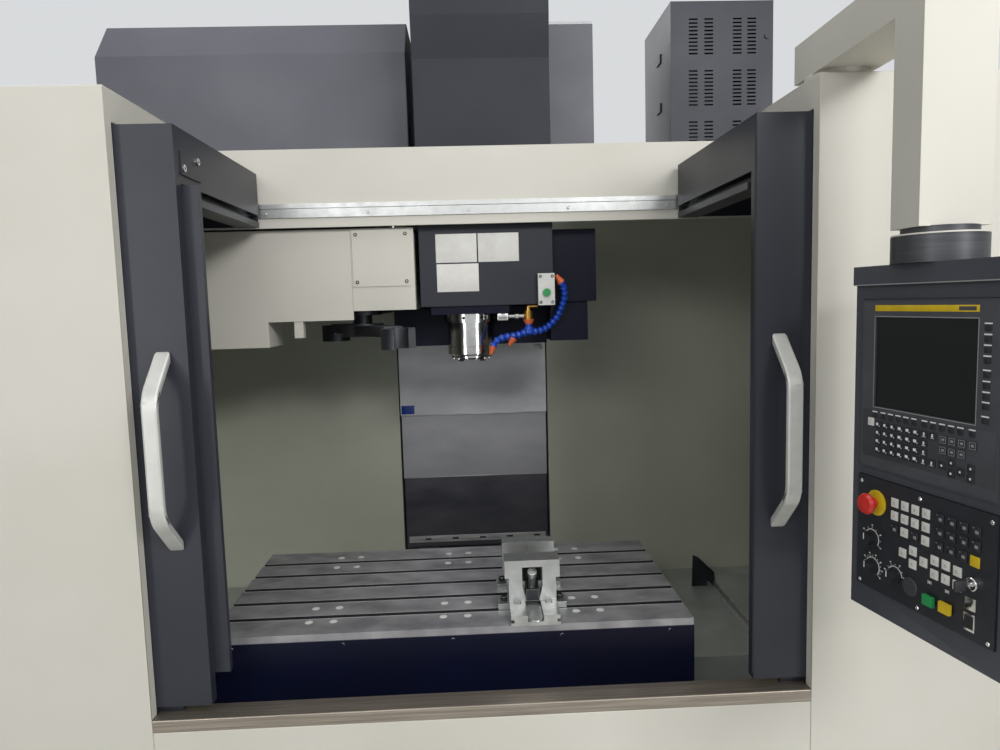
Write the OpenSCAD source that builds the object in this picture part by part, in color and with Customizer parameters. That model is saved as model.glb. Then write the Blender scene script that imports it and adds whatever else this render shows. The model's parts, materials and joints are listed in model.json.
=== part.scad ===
// Vertical machining centre with two sliding doors, an arm type tool changer
// and a swinging control pendant.
// Origin: on the floor, straight below the spindle axis. X right, Y back, Z up.

/* [Enclosure] */
// Overall width of the enclosure
encl_w = 2800; // [2700:10:3000]
// Height of the enclosure roof above the floor
encl_top_z = 2155; // [2140:5:2200]
// Front face of the fixed panels, measured from the spindle axis
front_y = -810; // [-840:5:-800]
// Thickness of folded sheet metal
sheet_t = 3; // [2:0.5:4]
// Width of the door opening
opening_w = 1474; // [1400:2:1500]
// Middle of the door opening from the spindle axis
opening_x = 10; // [0:1:20]
// Depth of the returned edges of the fixed panels
return_d = 28; // [20:1:29]
// Height of the gap under the enclosure
skirt_z = 60; // [40:5:80]

/* [Doors] */
// Width of an open door leaf that stays in view beside its jamb
door_open = 122; // [115:1:135]
// Width of one door leaf
door_w = 760; // [750:5:770]
// Thickness of a door leaf
door_t = 30; // [24:1:32]
// Gap between the fixed panel and the door leaf
door_gap = 2; // [1:0.5:3]
// Height of the door's lower edge above the sill
door_lift = 15; // [12:1:20]
// Top of the door leaf below the enclosure roof
door_drop = 72; // [68:1:80]
// Height of the channel along the door's roof leaf
channel_h = 153; // [140:1:160]
// Width of the recessed stile beside the leaf
stile_w = 34; // [25:1:40]
// Width of a door window
window_w = 420; // [360:10:460]
// Height of a door window
window_h = 700; // [500:10:800]
// Overall height of a door handle
handle_l = 440; // [380:4:480]
// Reach of a door handle in front of its door
handle_reach = 90; // [75:1:100]

/* [Sill and header] */
// Height of the stainless sill above the floor
sill_z = 800; // [780:5:820]
// Front to back depth of the sill
sill_d = 42; // [38:1:48]
// Height of the sill's front edge
sill_h = 28; // [20:1:36]
// Front face of the header beam from the spindle axis
header_y = -160; // [-165:1:-155]
// Height of the header's lower lip above the floor
header_z = 1930; // [1920:1:1940]
// Height of the bright guide rail's top edge
rail_z = 1998; // [1985:1:2010]

/* [Work table] */
// Table length
table_l = 1200; // [1100:10:1300]
// Table width, front to back
table_w = 600; // [580:5:610]
// Height of the table's top face above the floor
table_z = 900; // [890:1:910]
// Thickness of the slotted plate
table_t = 62; // [58:1:70]
// Number of T slots
slot_n = 5; // [3:1:5]
// Distance between T slots
slot_pitch = 100; // [95:1:105]
// Width of a T slot's throat
slot_w = 18; // [14:1:22]
// Depth of a T slot
slot_d = 30; // [28:1:34]
// Width of a T slot's head
slot_head_w = 30; // [28:1:34]
// Height of a T slot's head
slot_head_h = 12; // [10:1:14]
// Sideways place of the table's middle at rest
table_x = -67; // [-100:1:-40]
// Front edge of the table at rest, from the spindle axis
table_front_y = -630; // [-640:1:-620]
// Height of the navy apron
apron_h = 158; // [140:1:165]

/* [Vise] */
// Sideways place of the vise from the table's middle
vise_x = 205; // [180:1:230]
// Width of the vise base
vise_w = 122; // [110:1:130]
// Width of the vise jaws
jaw_w = 142; // [132:1:150]
// Height of the vise above the table
vise_h = 138; // [130:1:150]
// Opening between the jaws at rest
jaw_gap = 74; // [40:1:80]

/* [Head and spindle] */
// Radius of the spindle nose
nose_r = 75; // [70:0.5:78]
// Height of the spindle nose's lower face
nose_z = 1517; // [1500:1:1530]
// Height of the lower edge of the head's front cover
cover_z = 1686; // [1680:1:1695]
// Front face of the head's front cover
cover_y = -118; // [-120:1:-115]
// Left side of the head's front cover
cover_x0 = -150; // [-155:1:-145]
// Right side of the head's front cover
cover_x1 = 257; // [252:1:262]
// Top of the head's cover
cover_top_z = 2890; // [2800:10:2950]
// Lower face of the wide part of the head casting
cast_z = 1558; // [1556:1:1562]
// Half the width of the wide part of the head casting
cast_hw = 252; // [240:1:256]

/* [Column] */
// Front face of the column casting
column_y = 700; // [695:1:710]
// Width of the upper telescopic cover
way_cover_w = 600; // [590:2:620]
// Height of one telescopic cover
way_cover_h = 326; // [320:1:330]

/* [Tool changer] */
// Reach of the changer arm from its shaft to a gripper
arm_r = 345; // [340:1:350]
// Angle of the parked arm from the line to the spindle
arm_park = 65; // [60:1:70]
// Height of the arm's upper face
arm_z = 1645; // [1640:1:1648]
// Number of tool pots in the magazine
pot_n = 24; // [16:2:24]
// Radius of the circle of tool pots
pot_circle_r = 325; // [320:1:335]

/* [Pendant] */
// Width of the pendant box
pend_w = 348; // [330:2:370]
// Height of the pendant box
pend_h = 659; // [640:1:680]
// Depth of the pendant box
pend_d = 120; // [100:1:140]
// Turn of the pendant away from the front
pend_turn = 79.6; // [60:0.1:90]
// Width of the pendant arm
arm_w = 126; // [110:1:140]
// Height of the pendant arm's box section
arm_h = 84; // [70:1:95]
// Distance from the arm's pivot to the drop
arm_reach = 370; // [350:5:400]
// Diameter of the collar above the pendant
collar_d = 150; // [130:1:160]

/* [Hidden] */
$fn = 48;

fit = 0.3;                      // clearance between neighbouring pieces
run = 0.08;                     // radial clearance of a shaft in its bore
hw = encl_w / 2;
open_x0 = opening_x - opening_w / 2;
open_x1 = opening_x + opening_w / 2;
roof_in = encl_top_z - sheet_t;

// doors
door_y = front_y + return_d + door_gap;          // front face of a door leaf
door_bottom = sill_z + door_lift;
door_top = encl_top_z - door_drop;
door_h = door_top - door_bottom;
stile_y = door_y + door_t;
door_edge = opening_w / 2 - door_open;           // edge of an open leaf, from the opening's middle
roof_leaf_end = header_y - 20;
channel_z = door_top - channel_h;
handle_z = 1392;
handle_in = 52;                                  // from the leaf's edge to the handle
window_x = 190;                                  // outer margin beside the window
window_z = 1180;

// inner chamber and machine base
wall_y = 668;                                    // front of the rear wall
shell_back = 930;                                // back of the right enclosure
header_back = header_y + 12;
pad_top = 70;
bed_top = 600;
saddle_top = 762;
saddle_l = 860;
saddle_w = 560;
tray_z = 540;
tray_low = 450;
table_y = table_front_y + table_w / 2;
table_right = table_x + table_l / 2;

// head
block_hw = 120;
block_y = -110;
cast_top = 1940;
skirt_y = 70;
rear_y = 395;
cover_back = 385;
way_y = 660;                                     // front of the column's ways
way_x = 210;
way_hw = 42;
lower_bottom = 686;
middle_bottom = 980;
upper_bottom = cast_z + 8 - fit - way_cover_h;
flange_z = 1635;
block_z = 1662;
taper_r = 22.225;
taper_l = 68;

// changer
shaft_x = -arm_r;
grip_h = 66;
magazine_x = 2 * shaft_x;
magazine_z = 2085;
magazine_y0 = 150;
magazine_y1 = 600;
mag_x0 = -1195;
mag_x1 = -188;
mag_low_x1 = -300;
mag_top = 2525;
bevel_h = 126;
bevel_d = 100;
mag_low_z = 1668;
chg_x0 = -794;
chg_x1 = -352;
chg_step_x = -609;
chg_z0 = 1578;
chg_z1 = 1654;
chg_top = 1926;
chg_y = header_y + 28;
acc_x1 = -164;
acc_z = 1681;

// pendant
pivot_x = open_x1 + 70;
pivot_y = front_y + 70;
drop_y = pivot_y - arm_reach;
arm_bottom = encl_top_z + 11;
arm_top = arm_bottom + arm_h;
pend_top = 1742;
collar_z = 1790;
drop_z = collar_z + 12;
face_v = -47;                                    // front face from the collar's axis
face_u0 = -144;                                  // left side from the collar's axis
unit_u = face_u0 + 20;
unit_w = 308;
unit_top = pend_top - 62;
unit_h = 316;
lcd_u = face_u0 + 57;
lcd_w = 222;
lcd_h = 166;
lcd_top = 1648;
op_top = unit_top - unit_h - 18;
op_h = 216;
key = 17;                                        // width of a panel key
key_pitch = 24;
plate_t = 4;

shell = "#d3d1c6";
slate = "#2c3038";
navy = "#1a1f33";
steel = "#8d8f8e";
bright = "#b9bbb8";
black = "#17181a";

// Helpers

// A box between two opposite corners
module span(a, b) {
    translate(a) cube([b[0] - a[0], b[1] - a[1], b[2] - a[2]]);
}

// A cylinder along Y, starting at a point
module rod_y(p, r, l) {
    translate(p) rotate([-90, 0, 0]) cylinder(r = r, h = l);
}

// A cylinder along X, starting at a point
module rod_x(p, r, l) {
    translate(p) rotate([0, 90, 0]) cylinder(r = r, h = l);
}

// A profile drawn in Y and Z, extruded along X
module along_x(x0, x1) {
    translate([x0, 0, 0]) rotate([90, 0, 90]) linear_extrude(x1 - x0) children();
}

// A profile drawn in X and Z, extruded along Y
module along_y(y0, y1) {
    translate([0, y1, 0]) rotate([90, 0, 0]) linear_extrude(y1 - y0) children();
}

// A socket head screw standing on the face z = 0
module cap_screw(d) {
    difference() {
        cylinder(d = d * 1.6, h = d);
        translate([0, 0, d * 0.5]) cylinder(d = d * 0.95, h = d, $fn = 6);
    }
}

// A rounded rectangle centred on the origin
module round_rect(w, h, r) {
    square([w - 2 * r, h], center = true);
    square([w, h - 2 * r], center = true);
    for (sx = [-1, 1], sy = [-1, 1])
        translate([sx * (w / 2 - r), sy * (h / 2 - r)]) circle(r);
}

// A servo motor with its flange at z = 0 and its shaft up
module servo_motor(w, l) {
    translate([-w / 2, -w / 2, -12]) cube([w, w, 12]);
    translate([0, 0, -l + 40]) cylinder(d = w * 0.94, h = l - 52);
    translate([-w * 0.4, -w * 0.4, -l]) cube([w * 0.8, w * 0.8, 40]);
    translate([w * 0.32, -w * 0.15, -l + 60]) cube([w * 0.3, w * 0.3, 40]);
}

// Frame pieces

pad_x = 440;
module levelling_pads() {
    color("#4a4c4d")
    for (x = [-pad_x, pad_x], y = [-530, -80, 370, 1290]) translate([x, y, 0]) {
        cylinder(d = 130, h = 26);
        cylinder(d = 36, h = pad_top);
        translate([0, 0, 40]) cylinder(d = 66, h = 18, $fn = 6);
    }
}

bed_hw = 520;
bed_y0 = -560;
bed_y1 = 1340;
module bed() {
    color("#7d817c")
    difference() {
        union() {
            span([-bed_hw, bed_y0, pad_top], [bed_hw, bed_y1, bed_top - 46]);
            span([-bed_hw + 40, column_y - 20, bed_top - 47], [bed_hw - 40, bed_y1, bed_top]);
            for (s = [-1, 1])
                along_y(bed_y0, column_y - 20) translate([s * 310, 0]) polygon([
                    [-62, bed_top - 47], [62, bed_top - 47], [50, bed_top - 24], [66, bed_top - 24],
                    [66, bed_top], [-66, bed_top], [-66, bed_top - 24], [-50, bed_top - 24]]);
        }
        for (s = [-1, 1], i = [0:3])
            translate([s * bed_hw, -305 + i * 450, 300]) cube([80, 330, 260], center = true);
        // ribbed underside
        for (x = [-330, 0, 330], i = [0:3])
            span([x - 127, -500 + i * 450, pad_top - 1], [x + 127, -110 + i * 450, 375]);
        along_y(bed_y0 - 1, bed_y0 + 240) translate([-120, 400]) square([240, 200]);
    }
}

module column() {
    color("#7d817c") {
        difference() {
            union() {
                along_y(column_y, 1300) polygon([[-450, bed_top], [450, bed_top],
                    [330, 1100], [300, 2150], [-300, 2150], [-330, 1100]]);
                for (s = [-1, 1]) {
                    span([s * way_x - way_hw + 14, way_y + 22, 640],
                        [s * way_x + way_hw - 14, column_y + 1, 2130]);
                    span([s * way_x - way_hw, way_y, 640], [s * way_x + way_hw, way_y + 24, 2130]);
                }
            }
            // hollow casting, open at the back through two windows
            along_y(column_y + 80, 1250) polygon([[-380, 640], [380, 640],
                [285, 1100], [255, 2090], [-255, 2090], [-285, 1100]]);
            along_y(1249, 1301) polygon([[-180, 760], [180, 760], [140, 1400], [-140, 1400]]);
            along_y(1249, 1301) translate([0, 1700]) circle(r = 110);
        }
    }
}

module drive_motors() {
    color("#3a3c40") {
        translate([0, 760, 2150]) rotate([180, 0, 0]) servo_motor(170, 330);
        translate([0, bed_y0 + 240, 490]) rotate([-90, 0, 0]) servo_motor(140, 200);
    }
}

// Enclosure pieces

// Fixed panel, side wall and roof of one side, folded from sheet.
// side is -1 for the left and 1 for the right, edge_x is the opening's edge.
module side_shell(side, edge_x, back_y) {
    x_out = side * hw;
    lo = min(x_out, edge_x);
    hi = max(x_out, edge_x);
    in_lo = side < 0 ? lo + sheet_t : lo - 1;
    in_hi = side < 0 ? hi + 1 : hi - sheet_t;
    difference() {
        span([lo, front_y, skirt_z], [hi, back_y, encl_top_z]);
        span([in_lo, front_y + sheet_t, skirt_z - 1], [in_hi, back_y + 1, roof_in]);
    }
    e = side < 0 ? edge_x - sheet_t : edge_x;
    span([e, front_y + 1, sill_z], [e + sheet_t, front_y + return_d, encl_top_z - 1]);
    span([e, front_y + 1, encl_top_z - door_drop + 4], [e + sheet_t, header_y - fit, encl_top_z - 1]);
}

module left_enclosure() {
    color(shell) difference() {
        side_shell(-1, open_x0, wall_y);
        span([mag_x0 - fit, magazine_y0 - fit, roof_in - 1],
            [open_x0 + 1, magazine_y1 + fit, encl_top_z + 1]);
    }
}

module right_enclosure() {
    color(shell) side_shell(1, open_x1, shell_back);
}

module front_lower_panel() {
    color(shell) difference() {
        span([open_x0 + 0.5, front_y, skirt_z], [open_x1 - 0.5, front_y + 40, sill_z - sill_h]);
        span([open_x0 - 1, front_y + sheet_t, skirt_z - 1],
            [open_x1 + 1, front_y + 41, sill_z - sill_h - sheet_t]);
    }
}

module door_sill() {
    color("#a9a39a") {
        difference() {
            span([open_x0 + 0.5, front_y, sill_z - sill_h], [open_x1 - 0.5, front_y + sill_d, sill_z]);
            span([open_x0 - 1, front_y + sheet_t, sill_z - sill_h - 1],
                [open_x1 + 1, front_y + sill_d + 1, sill_z - sheet_t]);
        }
    }
    // guide track behind the fixed panels and across the opening
    color(steel) difference() {
        span([-hw + sheet_t + fit, front_y + sill_d, sill_z - 70],
            [hw - sheet_t - fit, front_y + sill_d + 40, sill_z - 10]);
        span([-hw, front_y + sill_d + sheet_t, sill_z - 71],
            [hw, front_y + sill_d + 41, sill_z - 10 - sheet_t]);
    }
}

module header_beam() {
    color(shell) {
        difference() {
            span([open_x0, header_y, header_z], [open_x1, header_back, encl_top_z]);
            span([open_x0 - 1, header_y + sheet_t, header_z + sheet_t],
                [open_x1 + 1, header_back + 1, encl_top_z - sheet_t]);
        }
        // roof strips on both sides of the head
        span([open_x0, header_y + 1, roof_in], [cover_x0 - 40, magazine_y0 - fit, encl_top_z]);
        span([cover_x1 + 160, header_y + 1, roof_in], [open_x1, wall_y - 40, encl_top_z]);
        for (s = [0, 1]) {
            a = s == 0 ? -hw + sheet_t + fit : open_x1;
            b = s == 0 ? open_x0 : hw - sheet_t - fit;
            span([a, header_y, header_z], [b, header_y + sheet_t, roof_in - fit]);
            span([a, header_y, header_z], [b, header_back, header_z + sheet_t]);
        }
    }
}

rail_bolt_pitch = 297.5;
module guide_rails() {
    color("#c7c8c4")
        span([-hw + 12, header_y - 8, rail_z - 13], [hw - 12, header_y, rail_z]);
    color("#55585c") {
        span([-hw + 12, header_y - 5, rail_z - 40], [hw - 12, header_y, rail_z - 14]);
        for (i = [-4:4])
            translate([4 + i * rail_bolt_pitch, header_y - 5, rail_z - 27]) rotate([90, 0, 0])
                cap_screw(6);
    }
}

module rear_wall() {
    t = sheet_t;
    a = way_cover_w / 2 + 6;
    b = hw - t - fit;
    step = bed_hw + 25;
    color("#9aa08c") for (s = [-1, 1]) scale([s, 1, 1]) {
        along_y(wall_y - 40, wall_y - 40 + t) polygon([[a, bed_top + 3], [step, bed_top + 3],
            [step, tray_z + t], [b, tray_z + t], [b, roof_in - fit], [a, roof_in - fit]]);
        span([a, wall_y - 40 + t, bed_top + 3], [a + t, column_y - fit, 1540]);
    }
}

module chip_trays() {
    t = sheet_t;
    y0 = front_y + sill_d + 40 + fit;
    y1 = wall_y - 40 - fit;
    xi = bed_hw + 25;
    xo = hw - 3 * t;
    step_y = -141;
    color("#7c7f7c") {
        for (s = [-1, 1]) scale([s, 1, 1]) {
            // high floor at the back, low floor at the front, outer upstand
            span([xi, step_y, tray_z], [xo, y1, tray_z + t]);
            span([xi, y0, tray_low], [xo, step_y + t, tray_low + t]);
            span([xi, step_y, tray_low], [xo, step_y + t, tray_z + t]);
            span([xo - t, y0, tray_low], [xo, y1, tray_z + 90]);
            span([xi, y0, tray_low], [xo, y0 + t, sill_z - 65]);
        }
        // front gutter between the two side trays
        along_x(-xi - 1, xi + 1) polygon([[y0, sill_z - 65], [y0, 548], [-660, 500], [-562, 500],
            [-562, 500 + t], [-660 + t, 500 + t], [y0 + t, 550], [y0 + t, sill_z - 65]]);
        // end plate of the flushing rails
        along_y(434, 438) polygon([[851, tray_z + 1], [855, tray_z + 131], [877, tray_z + 120],
            [940, tray_z + 58], [947, tray_z + 1]]);
    }
    // bright flushing rails on the right tray
    color("#c9cbc9") for (dx = [0, 26])
        span([912 + dx, step_y, tray_z + 1], [919 + dx, 435, tray_z + 22]);
}

// Magazine housing: dark folded shell with a bevelled front edge
module magazine_profile(inset) {
    i = inset;
    polygon([[magazine_y0 + i, mag_low_z + i], [magazine_y0 + i, mag_top - i * 0.4],
        [magazine_y0 + bevel_d + i * 0.4, mag_top + bevel_h - i],
        [magazine_y1 - i, mag_top + bevel_h - i], [magazine_y1 - i, mag_low_z + i]]);
}

module magazine_cover() {
    color(slate) difference() {
        along_x(mag_x0, mag_x1) magazine_profile(0);
        along_x(mag_x0 + sheet_t, mag_low_x1 - sheet_t) magazine_profile(sheet_t);
        along_x(mag_low_x1 - 10, mag_x1 - sheet_t) intersection() {
            magazine_profile(sheet_t);
            translate([0, encl_top_z + 8 + sheet_t]) square([1000, 1000]);
        }
        span([mag_low_x1, magazine_y0 - 1, mag_low_z - 1], [mag_x1 + 1, magazine_y1 + 1, encl_top_z + 8]);
        // way down for a tool pot
        span([magazine_x - 75, magazine_y0 - 1, mag_low_z - 1],
            [magazine_x + 75, magazine_y0 + 130, 1900]);
    }
}

module changer_cover() {
    t = sheet_t;
    color(shell) {
        difference() {
            along_y(chg_y, magazine_y0 - fit) polygon([[chg_x0, chg_z0], [chg_step_x, chg_z0],
                [chg_step_x, chg_z1], [chg_x1, chg_z1], [chg_x1, chg_top], [chg_x0, chg_top]]);
            along_y(chg_y + t, magazine_y0) polygon([[chg_x0 + t, chg_z0 - 1],
                [chg_step_x - t, chg_z0 - 1], [chg_step_x - t, chg_z1 - 1],
                [chg_x1 + 1, chg_z1 - 1], [chg_x1 + 1, chg_top - t], [chg_x0 + t, chg_top - t]]);
            // way for the swinging arm
            span([chg_step_x - t - 1, 34, chg_z0 - 1], [chg_step_x + 1, magazine_y0, chg_z1 - 1]);
        }
    }
    color("#e9e9e4") translate([-533, chg_y + t, 1604]) cube([27, 30, 96]);
}

module changer_access_cover() {
    t = sheet_t;
    a = chg_x1 + fit;
    color(shell) {
        difference() {
            span([a, chg_y - 2, acc_z], [acc_x1, 60, chg_top]);
            span([a - 1, chg_y - 2 + t, acc_z - 1], [acc_x1 - t, 61, chg_top - t]);
        }
        // removable plate with four screws
        span([a + 4, chg_y - 5, acc_z + 72], [acc_x1 - 12, chg_y - 2, chg_top - 4]);
    }
    color("#6d6f6c") for (x = [a + 16, acc_x1 - 24], z = [acc_z + 86, chg_top - 18])
        translate([x, chg_y - 5, z]) rotate([90, 0, 0]) cylinder(d = 9, h = 2.5);
}

gearbox_top = 1890;
module changer_gearbox() {
    color("#5b5f63") difference() {
        union() {
            span([shaft_x - 95, -80, arm_z + 62], [shaft_x + 68, magazine_y0 - fit, gearbox_top]);
            translate([shaft_x, 0, arm_z + 22]) cylinder(r = 62, h = 50);
            translate([shaft_x, 30, gearbox_top - 1]) cylinder(r = 50, h = 30);
        }
        translate([shaft_x, 0, arm_z]) cylinder(r = 30 + run, h = 120);
    }
}

cab_y1 = shell_back + 440;
cab_top = encl_top_z - 55;
module electrical_cabinet() {
    x0 = bed_hw + 25;
    y0 = shell_back + fit;
    t = sheet_t;
    color(shell) difference() {
        span([x0, y0, 150], [hw, cab_y1, cab_top]);
        span([x0 + t, y0 + t, 150 + t], [hw - t, cab_y1 - 40, cab_top - t]);
        span([x0 + 30, cab_y1 - 3, 190], [hw - 30, cab_y1 + 1, cab_top - 40]);
        // handle recess of the rear door
        span([x0 + 55, cab_y1 - 20, 1050], [x0 + 95, cab_y1 + 1, 1200]);
    }
    color("#7e817e") for (x = [x0 + 30, hw - 90], y = [y0 + 40, cab_y1 - 80])
        span([x, y, 0], [x + 50, y + 50, 150]);
}

louvre_x0 = 793;
louvre_x1 = 1189;
louvre_y0 = 500;
louvre_y1 = 910;
louvre_z1 = 2811;
module louvre_box() {
    t = sheet_t;
    slot_l = 34;
    color(slate) difference() {
        span([louvre_x0, louvre_y0, encl_top_z], [louvre_x1, louvre_y1, louvre_z1]);
        span([louvre_x0 + t, louvre_y0 + t, encl_top_z + t],
            [louvre_x1 - t, louvre_y1 - t, louvre_z1 - t]);
        for (x = [880, 940, 1050, 1106], k = [0:2], i = [0:9])
            translate([x - slot_l / 2, louvre_y0 - 1, 2742 - k * 190 - i * 14])
                cube([slot_l, t + 2, 6]);
    }
    color("#c0c2c0") {
        for (z = [2630, 2440]) span([louvre_x0 - 6, 640, z], [louvre_x0, 700, z + 34]);
        translate([louvre_x1 - 24, louvre_y0, 2680]) rotate([90, 0, 0]) cylinder(d = 20, h = 6);
    }
}

module column_top_cover() {
    t = sheet_t;
    x0 = -180;
    x1 = 512;
    z0 = encl_top_z + 6;
    color(slate) difference() {
        along_x(x0, x1) polygon([[600, z0], [600, 2770], [640, 2795], [1060, 2795], [1060, z0]]);
        along_x(x0 + t, x1 - t) polygon([[600 + t, z0 - 1], [600 + t, 2770 - t],
            [640, 2795 - t], [1060 - t, 2795 - t], [1060 - t, z0 - 1]]);
    }
    // brackets on the column's top plate
    color(steel) for (x = [-150, 230]) span([x, 720, 2150], [x + 40, 1060 - t + 1, z0 + 30]);
}

// One folded telescopic cover: front plate with two side returns
module way_cover(w, y, z, h) {
    t = 2.5;
    difference() {
        span([-w / 2, y, z], [w / 2, y + 26, z + h]);
        span([-w / 2 + t, y + t, z - 1], [w / 2 - t, y + 27, z + h + 1]);
    }
    // wiper lip on the lower edge
    span([-w / 2 + t - 0.5, y + t - 0.5, z], [w / 2 - t + 0.5, y + t + 1.2, z + 10]);
}

cover_step = 4;
cover_front = 618;
module upper_way_cover() {
    color(steel) {
        way_cover(way_cover_w, cover_front, upper_bottom, way_cover_h);
    }
}

module middle_way_cover() {
    color(steel) way_cover(way_cover_w - 2 * 3, cover_front + cover_step, middle_bottom, way_cover_h);
}

module lower_way_cover() {
    color(steel) {
        way_cover(way_cover_w - 2 * 6, cover_front + 2 * cover_step, lower_bottom, way_cover_h + 40);
        span([-280, cover_front + 2 * cover_step + 2, lower_bottom], [280, way_y - fit, lower_bottom + 30]);
    }
}

// Saddle and table

module saddle() {
    y0 = table_y - saddle_w / 2;
    y1 = table_y + saddle_w / 2;
    z0 = bed_top + fit;
    color("#7d817c") difference() {
        union() {
            span([-400, y0, z0], [400, y1, saddle_top - 42]);
            for (s = [-1, 1]) along_x(-saddle_l / 2, saddle_l / 2)
                translate([table_y + s * 190, 0]) polygon([
                    [-50, saddle_top - 43], [50, saddle_top - 43], [50, saddle_top - 20],
                    [62, saddle_top - 20], [62, saddle_top], [-62, saddle_top],
                    [-62, saddle_top - 20], [-50, saddle_top - 20]]);
            // gib strips that hook under the bed's ways
            for (s = [-1, 1])
                span([s > 0 ? 376 + fit : -400, y0, bed_top - 22], [s > 0 ? 400 : -376 - fit, y1, z0 + 1]);
        }
        along_y(y0 - 1, y1 + 1) translate([-130, z0 - 1]) square([260, 70]);
    }
}

module x_servo_motor() {
    color("#3a3c40") translate([-400, table_y, 680]) rotate([0, 90, 0]) servo_motor(120, 160);
}

function slot_y(i) = table_y + (i - (slot_n - 1) / 2) * slot_pitch;
plug_r = 10;
plug_clear = 0.3;
module plug_places() {
    for (c = [-1, 0, 1], s = [-1, 1], i = [0, slot_n - 1], v = [-1, 1])
        translate([table_x + 5 + c * 341 + s * 31, slot_y(i) + v * 42 + (i == 0 ? 12 : 0), table_z])
            children();
}

module table() {
    z0 = table_z - table_t;
    y0 = table_front_y;
    color("#74777a") difference() {
        union() {
            along_x(table_x - table_l / 2, table_x + table_l / 2) difference() {
                polygon([[y0, z0], [y0 + table_w, z0], [y0 + table_w, table_z], [y0, table_z]]);
                for (i = [0:slot_n - 1]) translate([slot_y(i), 0]) {
                    translate([-slot_w / 2, table_z - slot_d]) square([slot_w, slot_d + 1]);
                    translate([-slot_head_w / 2, table_z - slot_d]) square([slot_head_w, slot_head_h]);
                }
            }
            // way guides under the plate
            for (s = [-1, 1])
                span([table_x - table_l / 2 + 30, table_y + s * 190 - 62, saddle_top + fit],
                    [table_x + table_l / 2 - 30, table_y + s * 190 + 62, z0 + 1]);
            for (s = [-1, 1])
                span([table_x - table_l / 2 + 30, table_y + s * (190 + 73) - 10.7, saddle_top - 18],
                    [table_x + table_l / 2 - 30, table_y + s * (190 + 73) + 10.7, z0 + 1]);
        }
        plug_places() translate([0, 0, -4]) cylinder(r = plug_r + plug_clear, h = 5);
    }
}

module table_plugs() {
    color("#e8e8e6") plug_places() translate([0, 0, -4]) cylinder(r = plug_r, h = 4.2);
}

module front_apron() {
    t = sheet_t;
    x0 = table_x - table_l / 2;
    x1 = table_x + table_l / 2;
    z1 = table_z - 18;
    color(navy) {
        span([x0, table_front_y - t, z1 - apron_h], [x1, table_front_y, z1]);
        span([x0, table_front_y - 1, z1 - apron_h], [x1, table_front_y + 30, z1 - apron_h + t]);
    }
    color(bright) for (i = [0:4])
        translate([x0 + 60 + i * (table_l - 120) / 4, table_front_y - t, z1 - 10]) rotate([90, 0, 0])
            cylinder(d = 9, h = 3);
}

// Vise: fixed jaw and serrated bed, moving jaw with an inclined clamp screw
vx = table_x + vise_x;
vise_y0 = table_front_y - 6;
vise_l = 312;
fixed_jaw_y = vise_y0 + 224;
moving_jaw_t = 62;
moving_y0 = fixed_jaw_y - jaw_gap - moving_jaw_t;
rail_h = 26;
groove_w = 40;
module vise_body() {
    color("#9b9d9c") {
        difference() {
            union() {
                span([vx - vise_w / 2, vise_y0, table_z], [vx + vise_w / 2, vise_y0 + vise_l, table_z + rail_h]);
                span([vx - vise_w / 2 + 8, fixed_jaw_y + 10, table_z], [vx + vise_w / 2 - 8,
                    vise_y0 + vise_l - 8, table_z + vise_h - 20]);
                span([vx - jaw_w / 2, fixed_jaw_y, table_z + 50], [vx + jaw_w / 2, fixed_jaw_y + 42,
                    table_z + vise_h]);
                span([vx - vise_w / 2, fixed_jaw_y, table_z], [vx + vise_w / 2, fixed_jaw_y + 42,
                    table_z + 51]);
            }
            // long groove with its cross serrations
            span([vx - groove_w / 2, vise_y0 - 1, table_z + 10], [vx + groove_w / 2,
                fixed_jaw_y - 6, table_z + rail_h + 1]);
            // sunk screws beside the groove
            for (s = [-1, 1]) translate([vx + s * 40, vise_y0 + 80, table_z + rail_h - 8])
                cylinder(r = 10, h = 9);
            // clamp slots along both sides
            for (s = [-1, 1])
                translate([vx + s * vise_w / 2, vise_y0 + vise_l / 2, table_z + 12])
                    cube([16, vise_l + 2, 8], center = true);
        }
        // scale shaped ribs along the groove
        for (i = [0:14])
            translate([vx, vise_y0 + 22 + i * 13, table_z + 9]) rotate([10, 0, 0])
                cylinder(r = groove_w / 2 - 0.4, h = 7);
        for (s = [-1, 1]) translate([vx + s * 40, vise_y0 + 80, table_z + rail_h - 8.5]) cap_screw(8);
    }
}

screw_tilt = 60;
module screw_place() {
    translate([vx, moving_y0 + 12, table_z + 90]) rotate([90 - screw_tilt, 0, 0]) children();
}

module vise_moving_jaw() {
    z0 = table_z + rail_h + fit;
    color("#a3a5a4") {
        difference() {
            union() {
                span([vx - vise_w / 2, moving_y0, z0],
                    [vx + vise_w / 2, moving_y0 + moving_jaw_t - 14, table_z + 90]);
                span([vx - jaw_w / 2, moving_y0, table_z + 88],
                    [vx + jaw_w / 2, moving_y0 + moving_jaw_t, table_z + vise_h - 4]);
                span([vx - vise_w / 2, moving_y0 + moving_jaw_t - 15, z0 + 16],
                    [vx + vise_w / 2, moving_y0 + moving_jaw_t, table_z + 89]);
            }
            // recess for the clamp screw, narrower at the bottom
            translate([0, moving_y0 + 34, 0]) rotate([90, 0, 0]) linear_extrude(36) polygon([
                [vx - 18, table_z + 34], [vx + 18, table_z + 34], [vx + 26, table_z + 66],
                [vx + 26, table_z + 116], [vx - 26, table_z + 116], [vx - 26, table_z + 66]]);
            screw_place() translate([0, 0, -54]) cylinder(r = 9 + run, h = 40);
        }
        // foot block below the screw
        difference() {
            span([vx - 17, moving_y0 - 3, z0 + 2], [vx + 17, moving_y0 + 9, table_z + 58]);
            rod_y([vx, moving_y0 - 4, table_z + 46], 9, 4);
        }
    }
}

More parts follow.
